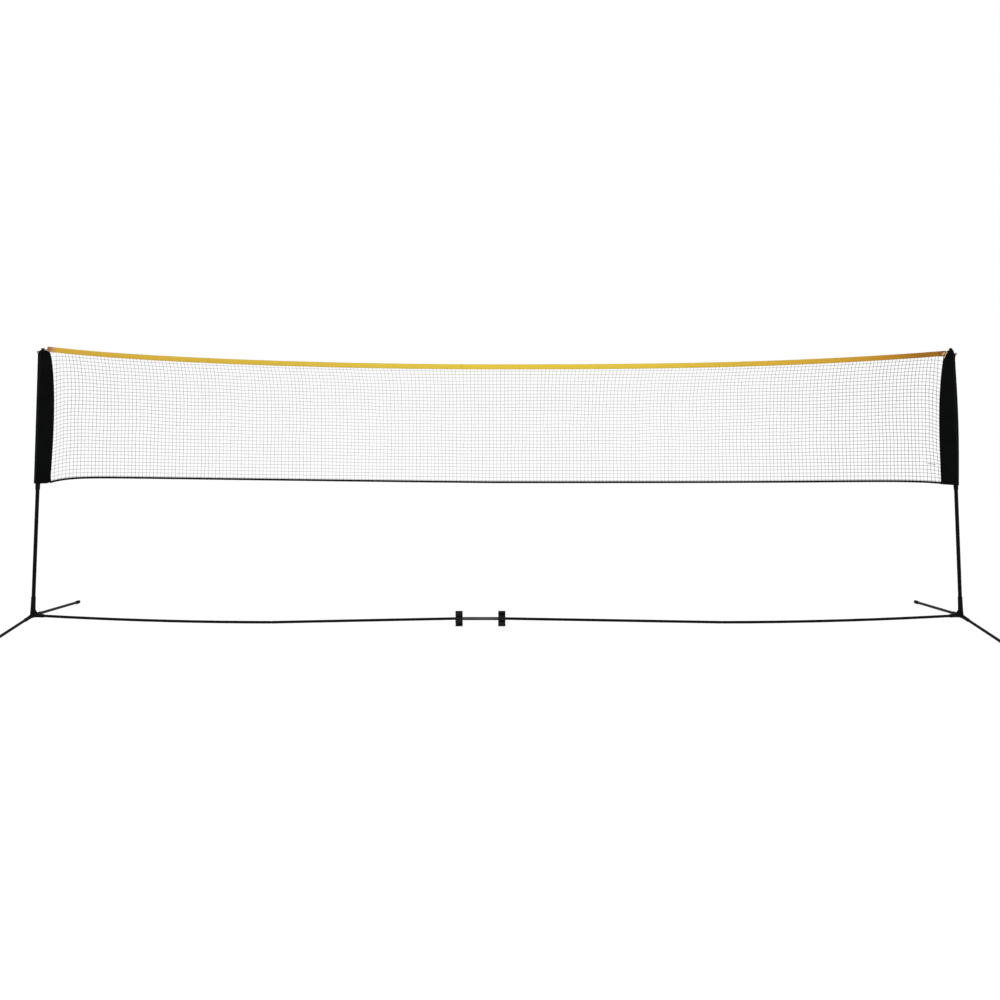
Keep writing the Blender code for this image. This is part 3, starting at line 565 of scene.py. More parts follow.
def setPiece(mesh, finish, slotName, *stands, angle=180):
    # every new piece belongs to the net and takes its mesh's name
    mesh.materials.clear()
    mesh.materials.append(finishes[finish])
    mesh.shade_smooth()
    mesh.set_sharp_from_angle(angle=math.radians(angle))
    piece = linkObject(mesh.name, mesh)
    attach(piece, "net_assembly")
    if stands:
        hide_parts(*stands)
    return piece


def addWall(piece, thickness):
    wall = piece.modifiers.new("wall", "SOLIDIFY")
    wall.thickness = thickness
    wall.offset = 0
    return wall


def soften(piece):
    subdivide = piece.modifiers.new("softer", "SUBSURF")
    subdivide.levels = subdivide.render_levels = 1


def skinFrom(name, bm, weld=0):
    # a mesh with doubled vertices welded and every face turned outwards
    if weld:
        bmesh.ops.remove_doubles(bm, verts=bm.verts, dist=weld)
    bmesh.ops.recalc_face_normals(bm, faces=bm.faces)
    return meshFrom(name, bm)


def setCut(layer, vertices, flatSpot):
    # where each vertex lies on the flat cloth, in metres
    for vertex in vertices:
        for loop in vertex.link_loops:
            loop[layer].uv = flatSpot(vertex)


def layCloth(bm, columns, rows, width, length, spotAt, *given):
    # a flat length of cloth, whose points then move to where spotAt puts them
    cutLayer = bm.loops.layers.uv.get("cut") or bm.loops.layers.uv.new("cut")
    cloth = bmesh.ops.create_grid(bm, x_segments=columns, y_segments=rows, size=0.5)["verts"]
    setCut(cutLayer, cloth, lambda vertex: (vertex.co.x * width, vertex.co.y * length))
    for vertex in cloth:
        vertex.co = spotAt(*given, vertex.co.x, vertex.co.y)


def strandMesh(name, lines, radius, corners, closed=False, share=None):
    # every line becomes a round strand that knows its own direction round and metres along
    curve = bpy.data.curves.new(name, "CURVE")
    curve.dimensions = "3D"
    curve.bevel_depth = radius
    curve.bevel_resolution = corners // 2 - 2
    curve.use_fill_caps = not closed
    for line in lines:
        spline = curve.splines.new("POLY")
        spline.points.add(len(line) - 1)
        spline.points.foreach_set("co", [value for spot in line for value in (*spot, 1)])
        if share:
            spline.points.foreach_set("radius", [share(spot) for spot in line])
        spline.use_cyclic_u = closed
    holder = linkObject(name, curve)
    seen = bpy.context.evaluated_depsgraph_get()
    mesh = bpy.data.meshes.new_from_object(holder.evaluated_get(seen))
    bpy.data.objects.remove(holder)
    bpy.data.curves.remove(curve)
    mesh.name = name
    rope = mesh.attributes.new("rope", "FLOAT_VECTOR", "POINT")
    capCount = len(mesh.vertices) - corners * sum(len(line) for line in lines)     # caps come first
    index = capCount
    known = {}                  # rope values at the strands' ends, for the caps there
    for line in lines:
        along = 0.0
        for spot, last in zip(line, [line[0]] + line[:-1]):
            along += (Vector(spot) - Vector(last)).length
            for turn in turnsRound(corners):
                value = (math.cos(turn), math.sin(turn), along)
                rope.data[index].vector = value
                if spot is line[0] or spot is line[-1]:
                    known[tuple(round(c, 5) for c in mesh.vertices[index].co)] = value
                index += 1
    for index in range(capCount):
        rope.data[index].vector = known.get(tuple(round(c, 5) for c in mesh.vertices[index].co), (1, 0, 0))
    bm = bmesh.new()
    bm.from_mesh(mesh)
    bmesh.ops.remove_doubles(bm, verts=bm.verts, dist=1e-6)
    bm.to_mesh(mesh)
    bm.free()
    return mesh


def scatterMesh(name, placements):
    # one small ball, stretched and turned, at each placement, made in batches for speed
    whole, batchSize = bmesh.new(), 240
    batch = bpy.data.meshes.new("batch")
    for start in range(0, len(placements), batchSize):
        few = bmesh.new()
        for placement in placements[start:start + batchSize]:
            bmesh.ops.create_icosphere(few, subdivisions=1, radius=1, matrix=placement)
        few.to_mesh(batch)
        few.free()
        whole.from_mesh(batch)
    bpy.data.meshes.remove(batch)
    return meshFrom(name, whole)


def stretchedTo(spot, along, up, sizes):
    # a placement at spot with its long axis along a direction
    along = Vector(along).normalized()
    side = along.cross(Vector(up)).normalized()
    top = side.cross(along)
    turn = Matrix((along, side, top)).transposed().to_4x4()
    return Matrix.Translation(spot) @ turn @ Matrix.Diagonal((*sizes, 1))


def walk(line, step):
    # evenly spaced (spot, direction, up) along a line of (spot, up)
    found, left = [], step / 2
    for (start, up), following in zip(line, line[1:]):
        end = following[0]
        span = (end - start).length
        while left < span:
            found.append((start.lerp(end, left / span), (end - start).normalized(), up))
            left += step
        left -= span
    return found


def stitchesAlong(lines, step, size):
    return [stretchedTo(spot, way, up, size) for line in lines for spot, way, up in walk(line, step)]


# Side sleeves: cloth held along the net and at both ends, and left to hang in between

sleeves = {
    "left": {"tailTop": 0.0463, "tail": 0.0715, "shoulder": 4.6, "belly": 0.0085, "corner": 0.004,
             "noseTop": 0.0292, "noseEnd": 0.0240, "noseBelly": 0.0, "ear": 0.0, "earLength": 0.010,
             "noseDrop": 0.010, "dropFrom": 0.010, "hemAtPost": -0.005, "hemAtTail": 0.001,
             "levelTo": (0.021, 0.0265), "cutIn": 0.0085, "tab": (0.0278, 1.5265)},
    "right": {"tailTop": 0.0423, "tail": 0.0840, "shoulder": 3.5, "belly": 0.0020, "corner": 0.001,
              "noseTop": 0.0228, "noseEnd": 0.0190, "noseBelly": 0.0092, "ear": 0.0060, "earLength": 0.016,
              "noseDrop": 0.021, "dropFrom": 0.0065, "hemAtPost": -0.015, "hemAtTail": -0.010,
              "levelTo": (0.012, 0.031), "cutIn": 0.0, "tab": (0.0275, 1.5160)},
    "around": 48,
    "rows": 84,
    "flatWidth": 0.215,         # round the widest place, cut open
    "fabric": 0.0010,
    "edgeHalf": 0.0011,         # half the thickness at the sewn edges
    "closing": 0.0015,          # length over which the two layers meet there
    "ease": 0.0012,             # slack of the cloth where it goes round the post
    "fall": (1.6, 1.2),         # how steeply it falls off towards the net and outwards
    "crowding": 0.035,          # draws the columns towards the sewn edges
    "rise": 0.0040,             # the top's edge stands up round the cap's neck
    "cutInLength": 0.022,       # how far down the top inner corner is cut in
    "cornerLength": 0.03,       # share of the height where the lower inner corner turns out
    "lap": 0.0012,              # how far the top laps over the tape's sewn end
    "liftFrom": 0.045,          # the left hem is level up to here, the right one slants all along
    "clearOfPost": 0.0120,      # post axis to the middle of the cloth
    "clearOfCollar": 0.0140,    # and lower down, where the twist lock passes when the net is lowered
    "collarFrom": 0.115,        # below the sleeve's top
    "seam": 0.009,              # sewn edges, towards the net and outwards
    "outerSeam": 0.0072,
    "leastOut": 0.012,          # least length over which the cloth falls off outwards
    "hem": 0.016,
    "tabRing": 0.0048,          # loop of cord sewn into the top outer corner
    "tabEgg": (0.12, 0.7),      # how much further it stands out on one side, and which way in radians
    "tabTwist": 0.0010,
    "tabCord": 0.0021,
    "netGrip": 0.09,            # shares of the way across and down that the cloth run holds fast
    "topGrip": 0.02,
    "outerGrip": (0.9, 0.86, 0.12),     # how firmly it holds the rest, from where and over which share
    "footGrip": (0.75, 0.97, 0.03),
    "slack": 0.018,             # how much longer the cloth is than the space that it is held in
    "mostMoved": 0.005,
    "frames": 22,
    "cloth": {"quality": 7, "mass": 0.15, "tension_stiffness": 12, "compression_stiffness": 12,
              "shear_stiffness": 4, "bending_stiffness": 0.35, "pin_stiffness": 1.0},
    "stitch": 0.0042,
    "stitchSize": (0.0014, 0.0004, 0.00035),
    "stitchLift": 0.0001,
}
sleeveHeight = layout["sleeveTop"] - layout["sleeveBottom"]


def innerReach(word, w):
    own = sleeves[word]
    reach = between(own["tailTop"], own["tail"], 1 - (1 - w) ** own["shoulder"])
    reach -= own["cutIn"] * math.exp(-w / sleeves["cutInLength"])
    turnOut = own["corner"] * math.exp(-((1 - w) / sleeves["cornerLength"]) ** 2)
    return reach + own["belly"] * math.sin(math.pi * w) + turnOut


def outerReach(word, w):
    own = sleeves[word]
    reach = between(own["noseTop"], own["noseEnd"], w) + own["noseBelly"] * math.sin(math.pi * w)
    return reach + own["ear"] * math.exp(-w / own["earLength"])


def underTape(word, reach):
    # the height where the sleeve's top is sewn to the lower edge of the tape's end
    return tapeLine(fromPost(word, reach)) - layout["tapeHeight"] / 2 + sleeves["lap"]


def innerEdge(word, z):
    # how far the sleeve reaches towards the net at a height
    top = underTape(word, innerReach(word, 0))
    foot = layout["sleeveBottom"] + sleeves[word]["hemAtTail"]
    return innerReach(word, min(1.0, max(0.0, (top - z) / (top - foot))))


def clearRadius(w):
    low = smoothStep(w * sleeveHeight / sleeves["collarFrom"])
    return between(sleeves["clearOfPost"], sleeves["clearOfCollar"], low)


def sleeveHalf(word, w, reach):
    # half the sleeve's thickness at a distance from the post's axis, towards the net
    tail, nose = innerReach(word, w), outerReach(word, w)
    edge, clear = sleeves["edgeHalf"], clearRadius(w)
    if reach > 0:
        out, steep = reach / (tail - sleeves["seam"]), sleeves["fall"][0]
    else:
        out, steep = -reach / max(sleeves["leastOut"], nose - sleeves["outerSeam"]), sleeves["fall"][1]
    bulge = math.cos(min(1.0, out) * math.pi / 2) ** steep
    half = edge + (clear + sleeves["ease"] - edge) * bulge
    if abs(reach) < clear:
        half = max(half, math.sqrt(clear ** 2 - reach ** 2))
    ends = min(1.0, (tail - reach) / sleeves["closing"], (reach + nose) / sleeves["closing"])
    return half * math.sqrt(max(0.0, ends))


def sleeveSpot(word, u, w):
    # u runs from the net's edge along the front to the outer edge, and back behind
    own = sleeves[word]
    tail, nose = innerReach(word, w), outerReach(word, w)
    share = 1 - abs(1 - 2 * u)
    share = share + sleeves["crowding"] * math.sin(math.tau * share)
    reach = between(tail, -nose, share)
    y = (-1 if u < 0.5 else 1) * sleeveHalf(word, w, reach)
    high = layout["sleeveTop"] + sleeves["rise"]
    level, low = own["levelTo"]
    top = between(high, underTape(word, max(reach, low)), smoothStep((reach - level) / (low - level)))
    outward = smoothStep((-reach - own["dropFrom"]) / (own["noseTop"] - own["dropFrom"]))
    top -= (sleeves["rise"] + own["noseDrop"]) * outward
    bend = sleeves["liftFrom"]
    lift = smoothStep((reach - bend) / (tail - bend)) if word == "left" else (reach + nose) / (tail + nose)
    foot = layout["sleeveBottom"] + between(own["hemAtPost"], own["hemAtTail"], lift)
    return Vector((fromPost(word, reach), y, between(top, foot, w)))


def sleeveRows():
    # even rows, with close pairs at the two hem lines
    hem, pair, room = sleeves["hem"] / sleeveHeight, 0.0006, 0.003
    rows = [w for w in shares(sleeves["rows"]) if min(abs(w - hem), abs(w - 1 + hem)) > room]
    return sorted(rows + [hem - pair, hem + pair, 1 - hem - pair, 1 - hem + pair])


def hangCloth(piece, word):
    # a short cloth run: held at the sewn edges, free in the middle, and a little too long
    cloth = piece.modifiers.new("hang", "CLOTH")
    for key, value in sleeves["cloth"].items():
        setattr(cloth.settings, key, value)
    cloth.settings.shrink_min = -sleeves["slack"]
    cloth.settings.vertex_group_mass = "held"
    cloth.collision_settings.use_collision = False
    cloth.point_cache.frame_start = 1
    cloth.point_cache.frame_end = sleeves["frames"]
    for count in range(1, sleeves["frames"] + 1):
        scene.frame_set(count)
    seen = piece.evaluated_get(bpy.context.evaluated_depsgraph_get())
    hung = [vertex.co.copy() for vertex in seen.data.vertices]
    piece.modifiers.remove(cloth)
    scene.frame_set(1)
    for vertex, spot in zip(piece.data.vertices, hung):
        rest = vertex.co.copy()
        move = spot - rest
        if move.length > sleeves["mostMoved"]:
            move *= sleeves["mostMoved"] / move.length
        new = rest + move
        front = -1 if rest.y < 0 else 1
        clear = clearRadius((layout["sleeveTop"] - new.z) / sleeveHeight)
        across = new.x - fromPost(word, 0)
        if abs(across) < clear:
            new.y = front * max(front * new.y, math.sqrt(clear ** 2 - across ** 2))
        least = min(sleeves["edgeHalf"], abs(rest.y))       # the layers stay apart
        vertex.co = (new.x, front * max(front * new.y, least), new.z)


def sewSleeve(word, piece, hemRows):
    # stitches down both edges and round both hems, on the cloth as it hangs
    around = sleeves["around"]
    half = around // 2
    spots = {}
    for vertex, item in zip(piece.data.vertices, piece.data.attributes["spot"].data):
        row, column = divmod(item.value, around + 1)
        lift = sleeves["fabric"] * (1.0 if row in hemRows else 0.55) + sleeves["stitchLift"]
        spots[row, column] = (vertex.co + vertex.normal * lift, vertex.normal.copy())
    last = max(row for row, column in spots)
    lines = [[spots[row, column] for row in range(1, last)] for column in (1, around - 1, half - 1, half + 1)]
    for row in hemRows[::2]:
        lines += [[spots[row, column] for column in columns]
                  for columns in (range(1, half), range(half + 1, around))]
    stitches = stitchesAlong(lines, sleeves["stitch"], sleeves["stitchSize"])
    setPiece(scatterMesh(f"sleeveStitches_{word}", stitches), "sleeveBinding", "sleeve_fabric")


def makeSleeve(word):
    around, rows = sleeves["around"], sleeveRows()
    bm = bmesh.new()
    bmesh.ops.create_grid(bm, x_segments=around, y_segments=len(rows) - 1, size=0.5)
    spotLayer = bm.verts.layers.int.new("spot")
    cutLayer = bm.loops.layers.uv.new("cut")
    places = {}
    for vertex in bm.verts:
        column = round((vertex.co.x + 0.5) * around)
        row = round((0.5 - vertex.co.y) * (len(rows) - 1))
        vertex[spotLayer] = row * (around + 1) + column
        places[vertex] = (row, column)
    setCut(cutLayer, bm.verts, lambda vertex: (places[vertex][1] / around * sleeves["flatWidth"],
                                               -rows[places[vertex][0]] * sleeveHeight))
    for vertex, (row, column) in places.items():
        vertex.co = sleeveSpot(word, column / around, rows[row])
    mesh = skinFrom(f"sleeve_{word}", bm, 1e-5)
    piece = setPiece(mesh, "sleeveCloth", "sleeve_fabric", f"side_sleeve_{word}")
    held = piece.vertex_groups.new(name="held")
    doubled = piece.vertex_groups.new(name="doubled")
    hem = sleeves["hem"] / sleeveHeight
    for index, item in enumerate(mesh.attributes["spot"].data):
        row, column = divmod(item.value, around + 1)
        w = rows[row]
        share = 1 - abs(1 - 2 * column / around)        # 0 at the net, 1 at the outer edge
        grips = [most * smoothStep((place - start) / over) for place, (most, start, over)
                 in ((share, sleeves["outerGrip"]), (w, sleeves["footGrip"]))]
        fast = share < sleeves["netGrip"] or w < sleeves["topGrip"]
        held.add([index], 1.0 if fast else max(grips), "REPLACE")
        doubled.add([index], 1.0 if w < hem or w > 1 - hem else 0.5, "REPLACE")
    hangCloth(piece, word)
    sewSleeve(word, piece, [row for row, w in enumerate(rows) if min(abs(w - hem), abs(1 - w - hem)) < 0.001])
    soften(piece)
    wall = addWall(piece, 2 * sleeves["fabric"])
    wall.vertex_group = "doubled"
    wall.use_rim = True


def makeTab(word):
    # a small loop of cord sewn into the sleeve's top outer corner
    reach, z = sleeves[word]["tab"]
    centre = Vector((fromPost(word, -reach), 0, z))
    egg, eggTurn = sleeves["tabEgg"]
    line = []
    for turn in turnsRound(20):
        out = sleeves["tabRing"] * (1 + egg * math.cos(turn - eggTurn))
        spot = (out * math.cos(turn), sleeves["tabTwist"] * math.sin(turn * 2), out * math.sin(turn))
        line.append(centre + Vector(spot))
    mesh = strandMesh(f"sleeveTab_{word}", [line], sleeves["tabCord"], 10, closed=True)
    setPiece(mesh, "blackThread", "sleeve_fabric")


for word in sideSign:
    makeSleeve(word)
    makeTab(word)
print("side sleeves hung")


# Top tape: one band folded over the net, with rolled lower edges

tape = {
    "flat": (0.054, 5.0375),
    "half": 0.0026,             # middle line to the band, at the fold
    "edgeHalf": 0.0019,
    "fold": 0.13,               # shares of each side: what bends over the top, what is level there
    "flatTop": 0.05,
    "levelOver": 0.12,
    "closeFrom": 0.15,          # and from where and over what it closes in on the lower edge
    "closeOver": 0.5,
    "wall": 0.0008,
    "stations": 420,
    "steps": 18,
    "underEnds": 0.002,         # how far the band runs in under its sewn ends
    "pucker": (26, 0.0007),     # unevenness: how often to the metre and how large
    "crinkle": (90, 0.0003),
    "sway": (7, 0.0008),
    "waver": (11, 0.0006),
    "joins": (-0.204, -1.640),  # where lengths of the band are sewn together
    "joinWidth": 0.014,
    "joinShort": 0.015,         # how much shorter than the way round, at each edge
    "joinWall": 0.00064,
    "joinFold": 0.06,           # share of the way round, on each side, that lies on top of the fold
    "joinSink": 0.35,           # how much closer to the band a join's edges lie
    "joinSeam": 0.004,          # middle of a join to its stitches, and which shares they run over
    "joinRuns": ((0.04, 0.42), (0.58, 0.96)),
    "stitchRows": (0.045, 0.12, 0.88, 0.955),
    "stitch": 0.0048,
    "stitchSize": (0.0016, 0.0004, 0.0003),
    "stitchLift": 0.0002,
    "joinStitch": 0.0032,
    "joinStitchSize": (0.0011, 0.0004, 0.0003),
}
tapeInnerX = layout["tapeEndX"] - layout["tapeEndLength"]


def tapeUp(x):
    slope = (tapeLine(x + 0.01) - tapeLine(x - 0.01)) / 0.02
    return Vector((-slope, 0, 1)).normalized()


def tapeSpot(x, around):
    # around runs from 0, the front lower edge, over the fold at 0.5 to 1, the back one
    half = layout["tapeHeight"] / 2
    side = -1 if around < 0.5 else 1
    down = abs(around - 0.5) * 2
    y = side * tape["half"] * math.sin(min(1.0, down / tape["fold"]) * math.pi / 2)
    if down > tape["closeFrom"]:
        y = between(y, side * tape["edgeHalf"], smoothStep((down - tape["closeFrom"]) / tape["closeOver"]))
    level = tape["flatTop"] * smoothStep(down / tape["levelOver"])
    z = half - tape["wall"] / 2
    z -= (2 * half - tape["wall"] / 2) * max(0.0, down - level) / (1 - tape["flatTop"])
    pucker = wander((x, side * 0.3, down), *tape["pucker"]) + wander((x, side, 0.0), *tape["crinkle"])
    y += side * pucker * smoothStep(down * 2) + wander((x, 4.0, 0.0), *tape["sway"])
    return Vector((x, y, tapeLine(x))) + tapeUp(x) * (max(z, -half) + wander((x, 9.0, 0.0), *tape["waver"]))


def makeTape():
    length = 2 * (tapeInnerX + tape["underEnds"])
    bm = bmesh.new()
    layCloth(bm, tape["stations"], tape["steps"], length, tape["flat"][0],
             lambda along, across: tapeSpot(along * length, across + 0.5))
    piece = setPiece(skinFrom("tapeBand", bm), "tapeCloth", "tape_yellow", "top_tape")
    addWall(piece, tape["wall"])
    return piece


def joinSpot(middle, along, across):
    x = middle + along * tape["joinWidth"]
    around = min(1 - tape["joinShort"], max(tape["joinShort"], across + 0.5))
    fromFold = around - 0.5
    away = Vector((0, math.copysign(1, fromFold), 0)) if abs(fromFold) > tape["joinFold"] else tapeUp(x)
    return tapeSpot(x, around) + away * (tape["wall"] * (1.0 - tape["joinSink"] * (2 * along) ** 4))


def makeJoins():
    # short lengths of the same band, wrapped over each join
    bm = bmesh.new()
    for middle in tape["joins"]:
        layCloth(bm, 6, 24, tape["joinWidth"], tape["flat"][0], joinSpot, middle)
    piece = setPiece(skinFrom("tapeJoins", bm), "tapeCloth", "tape_yellow")
    addWall(piece, tape["joinWall"])
    return piece


def tapeSurface(x, around, above=0.0):
    up = Vector((0, math.copysign(1, around - 0.5), 0))
    return tapeSpot(x, around) + up * (tape["wall"] / 2 + tape["stitchLift"] + above), up


def sewTape():
    # two rows of stitches along the band on each face, and the stitches of the joins
    rows = [[tapeSurface(between(-tapeInnerX, tapeInnerX, share), around) for share in shares(900)]
            for around in tape["stitchRows"]]
    seams = [[tapeSurface(middle + offset, between(low, high, share), tape["wall"]) for share in shares(12)]
             for middle in tape["joins"] for offset in (-tape["joinSeam"], tape["joinSeam"])
             for low, high in tape["joinRuns"]]
    stitches = stitchesAlong(rows, tape["stitch"], tape["stitchSize"])
    stitches += stitchesAlong(seams, tape["joinStitch"], tape["joinStitchSize"])
    return setPiece(scatterMesh("tapeStitches", stitches), "yellowThread", "tape_yellow")


tapeBand, tapeJoins, tapeStitches = makeTape(), makeJoins(), sewTape()
print("tape folded")


# Netting: twine uprights and rows, with a knot at each crossing

netting = {
    "columns": 243,
    "rows": 36,
    "twineRadius": 0.00062,
    "thicker": {"left": 0.22, "right": 0.45},   # share that the twine gains towards each end
    "thickerFrom": 0.9,
    "thickerOver": 1.6,
    "knotRadius": 0.0012,
    "knotShape": (1.25, 0.95, 0.9),
    "knotTurn": (1.0, 2.2),     # how far the knots are turned, and how much their size varies
    "knotSize": (1.0, 0.3),
    "sideColumn": {"left": (2.4885, 0.020, 3), "right": (2.4855, 0.030, 4)},    # x, lean and its power
    "spread": 0.040,            # how far the tape draws the meshes outwards below it
    "spreadDepth": 0.17,        # share of the height that this reaches down
    "spreadFrom": 0.3,          # share of half the length where it is in full
    "foot": 0.004,              # how far the lowest meshes stand out at the ends
    "endPower": 60,             # how close to the ends the side columns take over
    "dip": 0.030,               # how far the rows sag next to the sleeves, over which length
    "dipLength": 0.036,
    "dipAt": 0.02,              # and where the most, beyond the side columns
    "jitterX": (55, 0.00135),   # unevenness: how often to the metre and how large
    "driftX": (4.5, 0.006),
    "jitterZ": (60, 0.00135),
    "driftZ": (5.0, 0.005),
    "billow": (3.0, 0.004),
    "aboveCord": 0.0035,
    "intoTape": 0.0030,
    "endDrop": 0.006,           # how far a row falls on its way to the sleeve
    "intoSleeve": 0.004,
    "leastRun": 0.002,
}


def netSpot(column, row):
    s = -1 + 2 * column / (netting["columns"] - 1)
    t = row / (netting["rows"] - 1)
    word = sideOf(s)
    half, lean, power = netting["sideColumn"][word]
    spread = netting["spread"] * min(1.0, abs(s) / netting["spreadFrom"])
    spread *= math.exp(-(1 - t) / netting["spreadDepth"])
    ends = lean * t ** power + netting["foot"] * (1 - t) ** 6
    x = s * half + sideSign[word] * between(spread, ends, abs(s) ** netting["endPower"])
    low = cordLine(x) + layout["cordRadius"] + netting["aboveCord"]
    high = tapeLine(x) + layout["tapeHeight"] / 2 - netting["intoTape"]
    inside = math.sin(math.pi * t)
    fromEdge = half + netting["dipAt"] - abs(x)
    z = between(low, high, t) - netting["dip"] * math.exp(-fromEdge / netting["dipLength"]) * inside
    drift = wander((x, z, 5.1), *netting["driftX"]) * inside
    x += wander((x, z, 1.7), *netting["jitterX"]) * (0.4 + inside) + drift
    z += (wander((x, z, 8.3), *netting["jitterZ"]) + wander((x, z, 2.9), *netting["driftZ"])) * inside
    return Vector((x, wander((x, z, 3.3), *netting["billow"]) * inside, z))


def twineShare(spot):
    # how thick the twine is here, as a share of its radius in the middle
    gained = smoothStep((abs(spot[0]) - netting["thickerFrom"]) / netting["thickerOver"])
    return 1 + netting["thicker"][sideOf(spot[0])] * gained


def rowEnds(row):
    # where a row is sewn to the sleeves
    found = []
    for word, side in sideSign.items():
        spot = netSpot(0 if side < 0 else netting["columns"] - 1, row)
        low = spot.z - netting["endDrop"]
        edge = fromPost(word, innerEdge(word, low) - netting["intoSleeve"])
        if abs(edge) > abs(spot.x) + netting["leastRun"]:
            found.append(Vector((edge, 0, low)))
        else:
            found.append(Vector((spot.x + side * netting["leastRun"], 0, spot.z)))
    return found


def knotPlace(column, row, spot):
    turn = wander((column * 0.37, row * 0.61, 0.5), *netting["knotTurn"])
    uneven = 1 + wander((column * 0.7, row * 0.9, 2.5), *netting["knotSize"])
    size = netting["knotRadius"] * uneven * twineShare(spot)
    return stretchedTo(spot, (math.cos(turn), 0, math.sin(turn)), (0, 1, 0),
                       [size * share for share in netting["knotShape"]])


def makeNetting():
    columns, rows, radius = netting["columns"], netting["rows"], netting["twineRadius"]
    spots = [[netSpot(column, row) for row in range(rows)] for column in range(columns)]
    lines = []
    for row in range(rows):
        left, right = rowEnds(row)
        lines.append([left] + [spots[column][row] for column in range(columns)] + [right])
    knots = [knotPlace(column, row, spots[column][row]) for column in range(columns) for row in range(rows)]
    uprights = strandMesh("netUprights", spots, radius, 4, share=twineShare)
    pieces = [setPiece(uprights, "netTwine", "net_twine", "net_mesh")]
    for mesh in (strandMesh("netRows", lines, radius, 4, share=twineShare), scatterMesh("netKnots", knots)):
        pieces.append(setPiece(mesh, "netTwine", "net_twine"))
    return spots, pieces


netSpots, netPieces = makeNetting()
print("netting made:", sum(len(piece.data.polygons) for piece in netPieces), "faces")


# Bottom cord, and the hitches that hang the netting on it

cord = {
    "stations": 260,
    "sway": (5, 0.0012),        # unevenness: how often to the metre and how large
    "hitchPoints": 10,
    "hitchTwine": 0.0006,
    "hitchLean": (40, 0.0010),
}


def cordSpot(x):
    return Vector((x, wander((x, 0, 0), *cord["sway"]), cordLine(x)))


def makeBottomCord():
    ends = layout["cordEndX"]
    line = [cordSpot(between(-ends["left"], ends["right"], share)) for share in shares(cord["stations"])]
    mesh = strandMesh("bottomCord", [line], layout["cordRadius"], 12)
    return setPiece(mesh, "cordCover", "cord_black", "bottom_cord")


def makeHitches():
    ends = layout["cordEndX"]
    radius = layout["cordRadius"] + cord["hitchTwine"]
    loops = []
    for uprights in netSpots:
        top = uprights[0]
        centre = cordSpot(max(-ends["left"], min(ends["right"], top.x)))
        loop = []
        for turn in turnsRound(cord["hitchPoints"]):
            up, out = math.cos(turn), math.sin(turn)
            lift = max(0.0, up) ** 3 * (top.z - centre.z - radius)
            lean = wander((centre.x, 3.0, 0), *cord["hitchLean"]) * out
            y = centre.y + radius * out * (1 - 0.5 * max(0, up))
            loop.append(Vector((centre.x + lean, y, centre.z + radius * up + lift)))
        loops.append(loop)
    mesh = strandMesh("cordHitches", loops, cord["hitchTwine"], 4, closed=True)
    return setPiece(mesh, "netTwine", "net_twine")


bottomCord, cordHitches = makeBottomCord(), makeHitches()
print("bottom cord laid")


# Sewn ends of the tape, with eyelets, and the loops that hold them to the post caps

tapeEnd = {
    "thickness": 0.0046,
    "rimShare": 0.62,            # of the thickness, at the patch's edges
    "taper": 0.05,
    "crossWidth": 0.16,          # share of the patch that the sewn cross draws in, and how deep
    "crossDepth": 0.0006,
    "puffs": (130, 0.0006),      # unevenness: how often to the metre and how large
    "frays": (70, 0.0005),
    "eyeletAt": 0.03145,         # post axis to the eyelet's middle
    "rimRadius": 0.0038,
    "rimWire": 0.0009,
    "loopRadius": 0.00125,
    "loopGap": 0.0003,
    "loopReach": 0.0265,         # post axis to where the loop turns in the eyelet
    "stripHalf": 0.00175,        # half the cloth that it turns round there
    "neckHeight": 1.5375,
    "neckRadius": 0.0080,
}


def eyeletSpot(word):
    x = fromPost(word, tapeEnd["eyeletAt"])
    return Vector((x, 0, tapeLine(x)))


def patchSpot(word, u, v, thick):
    # u runs along the patch and v up it, all three from -1 to 1
    x = sideSign[word] * between(layout["tapeEndX"], tapeInnerX, (u + 1) / 2)
    rim = (1 - abs(u) ** 6) * (1 - abs(v) ** 6)
    cross = sum(math.exp(-(away / tapeEnd["crossWidth"]) ** 2) for away in (u - v, u + v))
    half = tapeEnd["thickness"] / 2 * between(tapeEnd["rimShare"], 1, math.sqrt(max(0.0, rim)))
    half += wander((x, v * 0.01, thick), *tapeEnd["puffs"]) - tapeEnd["crossDepth"] * min(1.0, cross) * rim
    height = v * layout["tapeHeight"] / 2 * (1 - tapeEnd["taper"] * abs(u) ** 3)
    height += wander((x, v, 7.0), *tapeEnd["frays"])
    return Vector((x, thick * half, tapeLine(x))) + tapeUp(x) * height


def makeTapeEnd(word):
    bm = bmesh.new()
    bmesh.ops.create_cube(bm, size=1)
    bmesh.ops.subdivide_edges(bm, edges=bm.edges, cuts=11, use_grid_fill=True)
    cutLayer = bm.loops.layers.uv.new("cut")
    setCut(cutLayer, bm.verts, lambda vertex: (vertex.co.x * layout["tapeEndLength"],
                                               vertex.co.z * layout["tapeHeight"] + vertex.co.y * 0.004))
    for vertex in bm.verts:
        vertex.co = patchSpot(word, vertex.co.x * 2, vertex.co.z * 2, vertex.co.y * 2)
    mesh = skinFrom(f"tapeEnd_{word}", bm)
    piece = setPiece(mesh, "patchCloth", "patch_brown", f"tape_end_{word}", angle=70)
    soften(piece)
    return piece


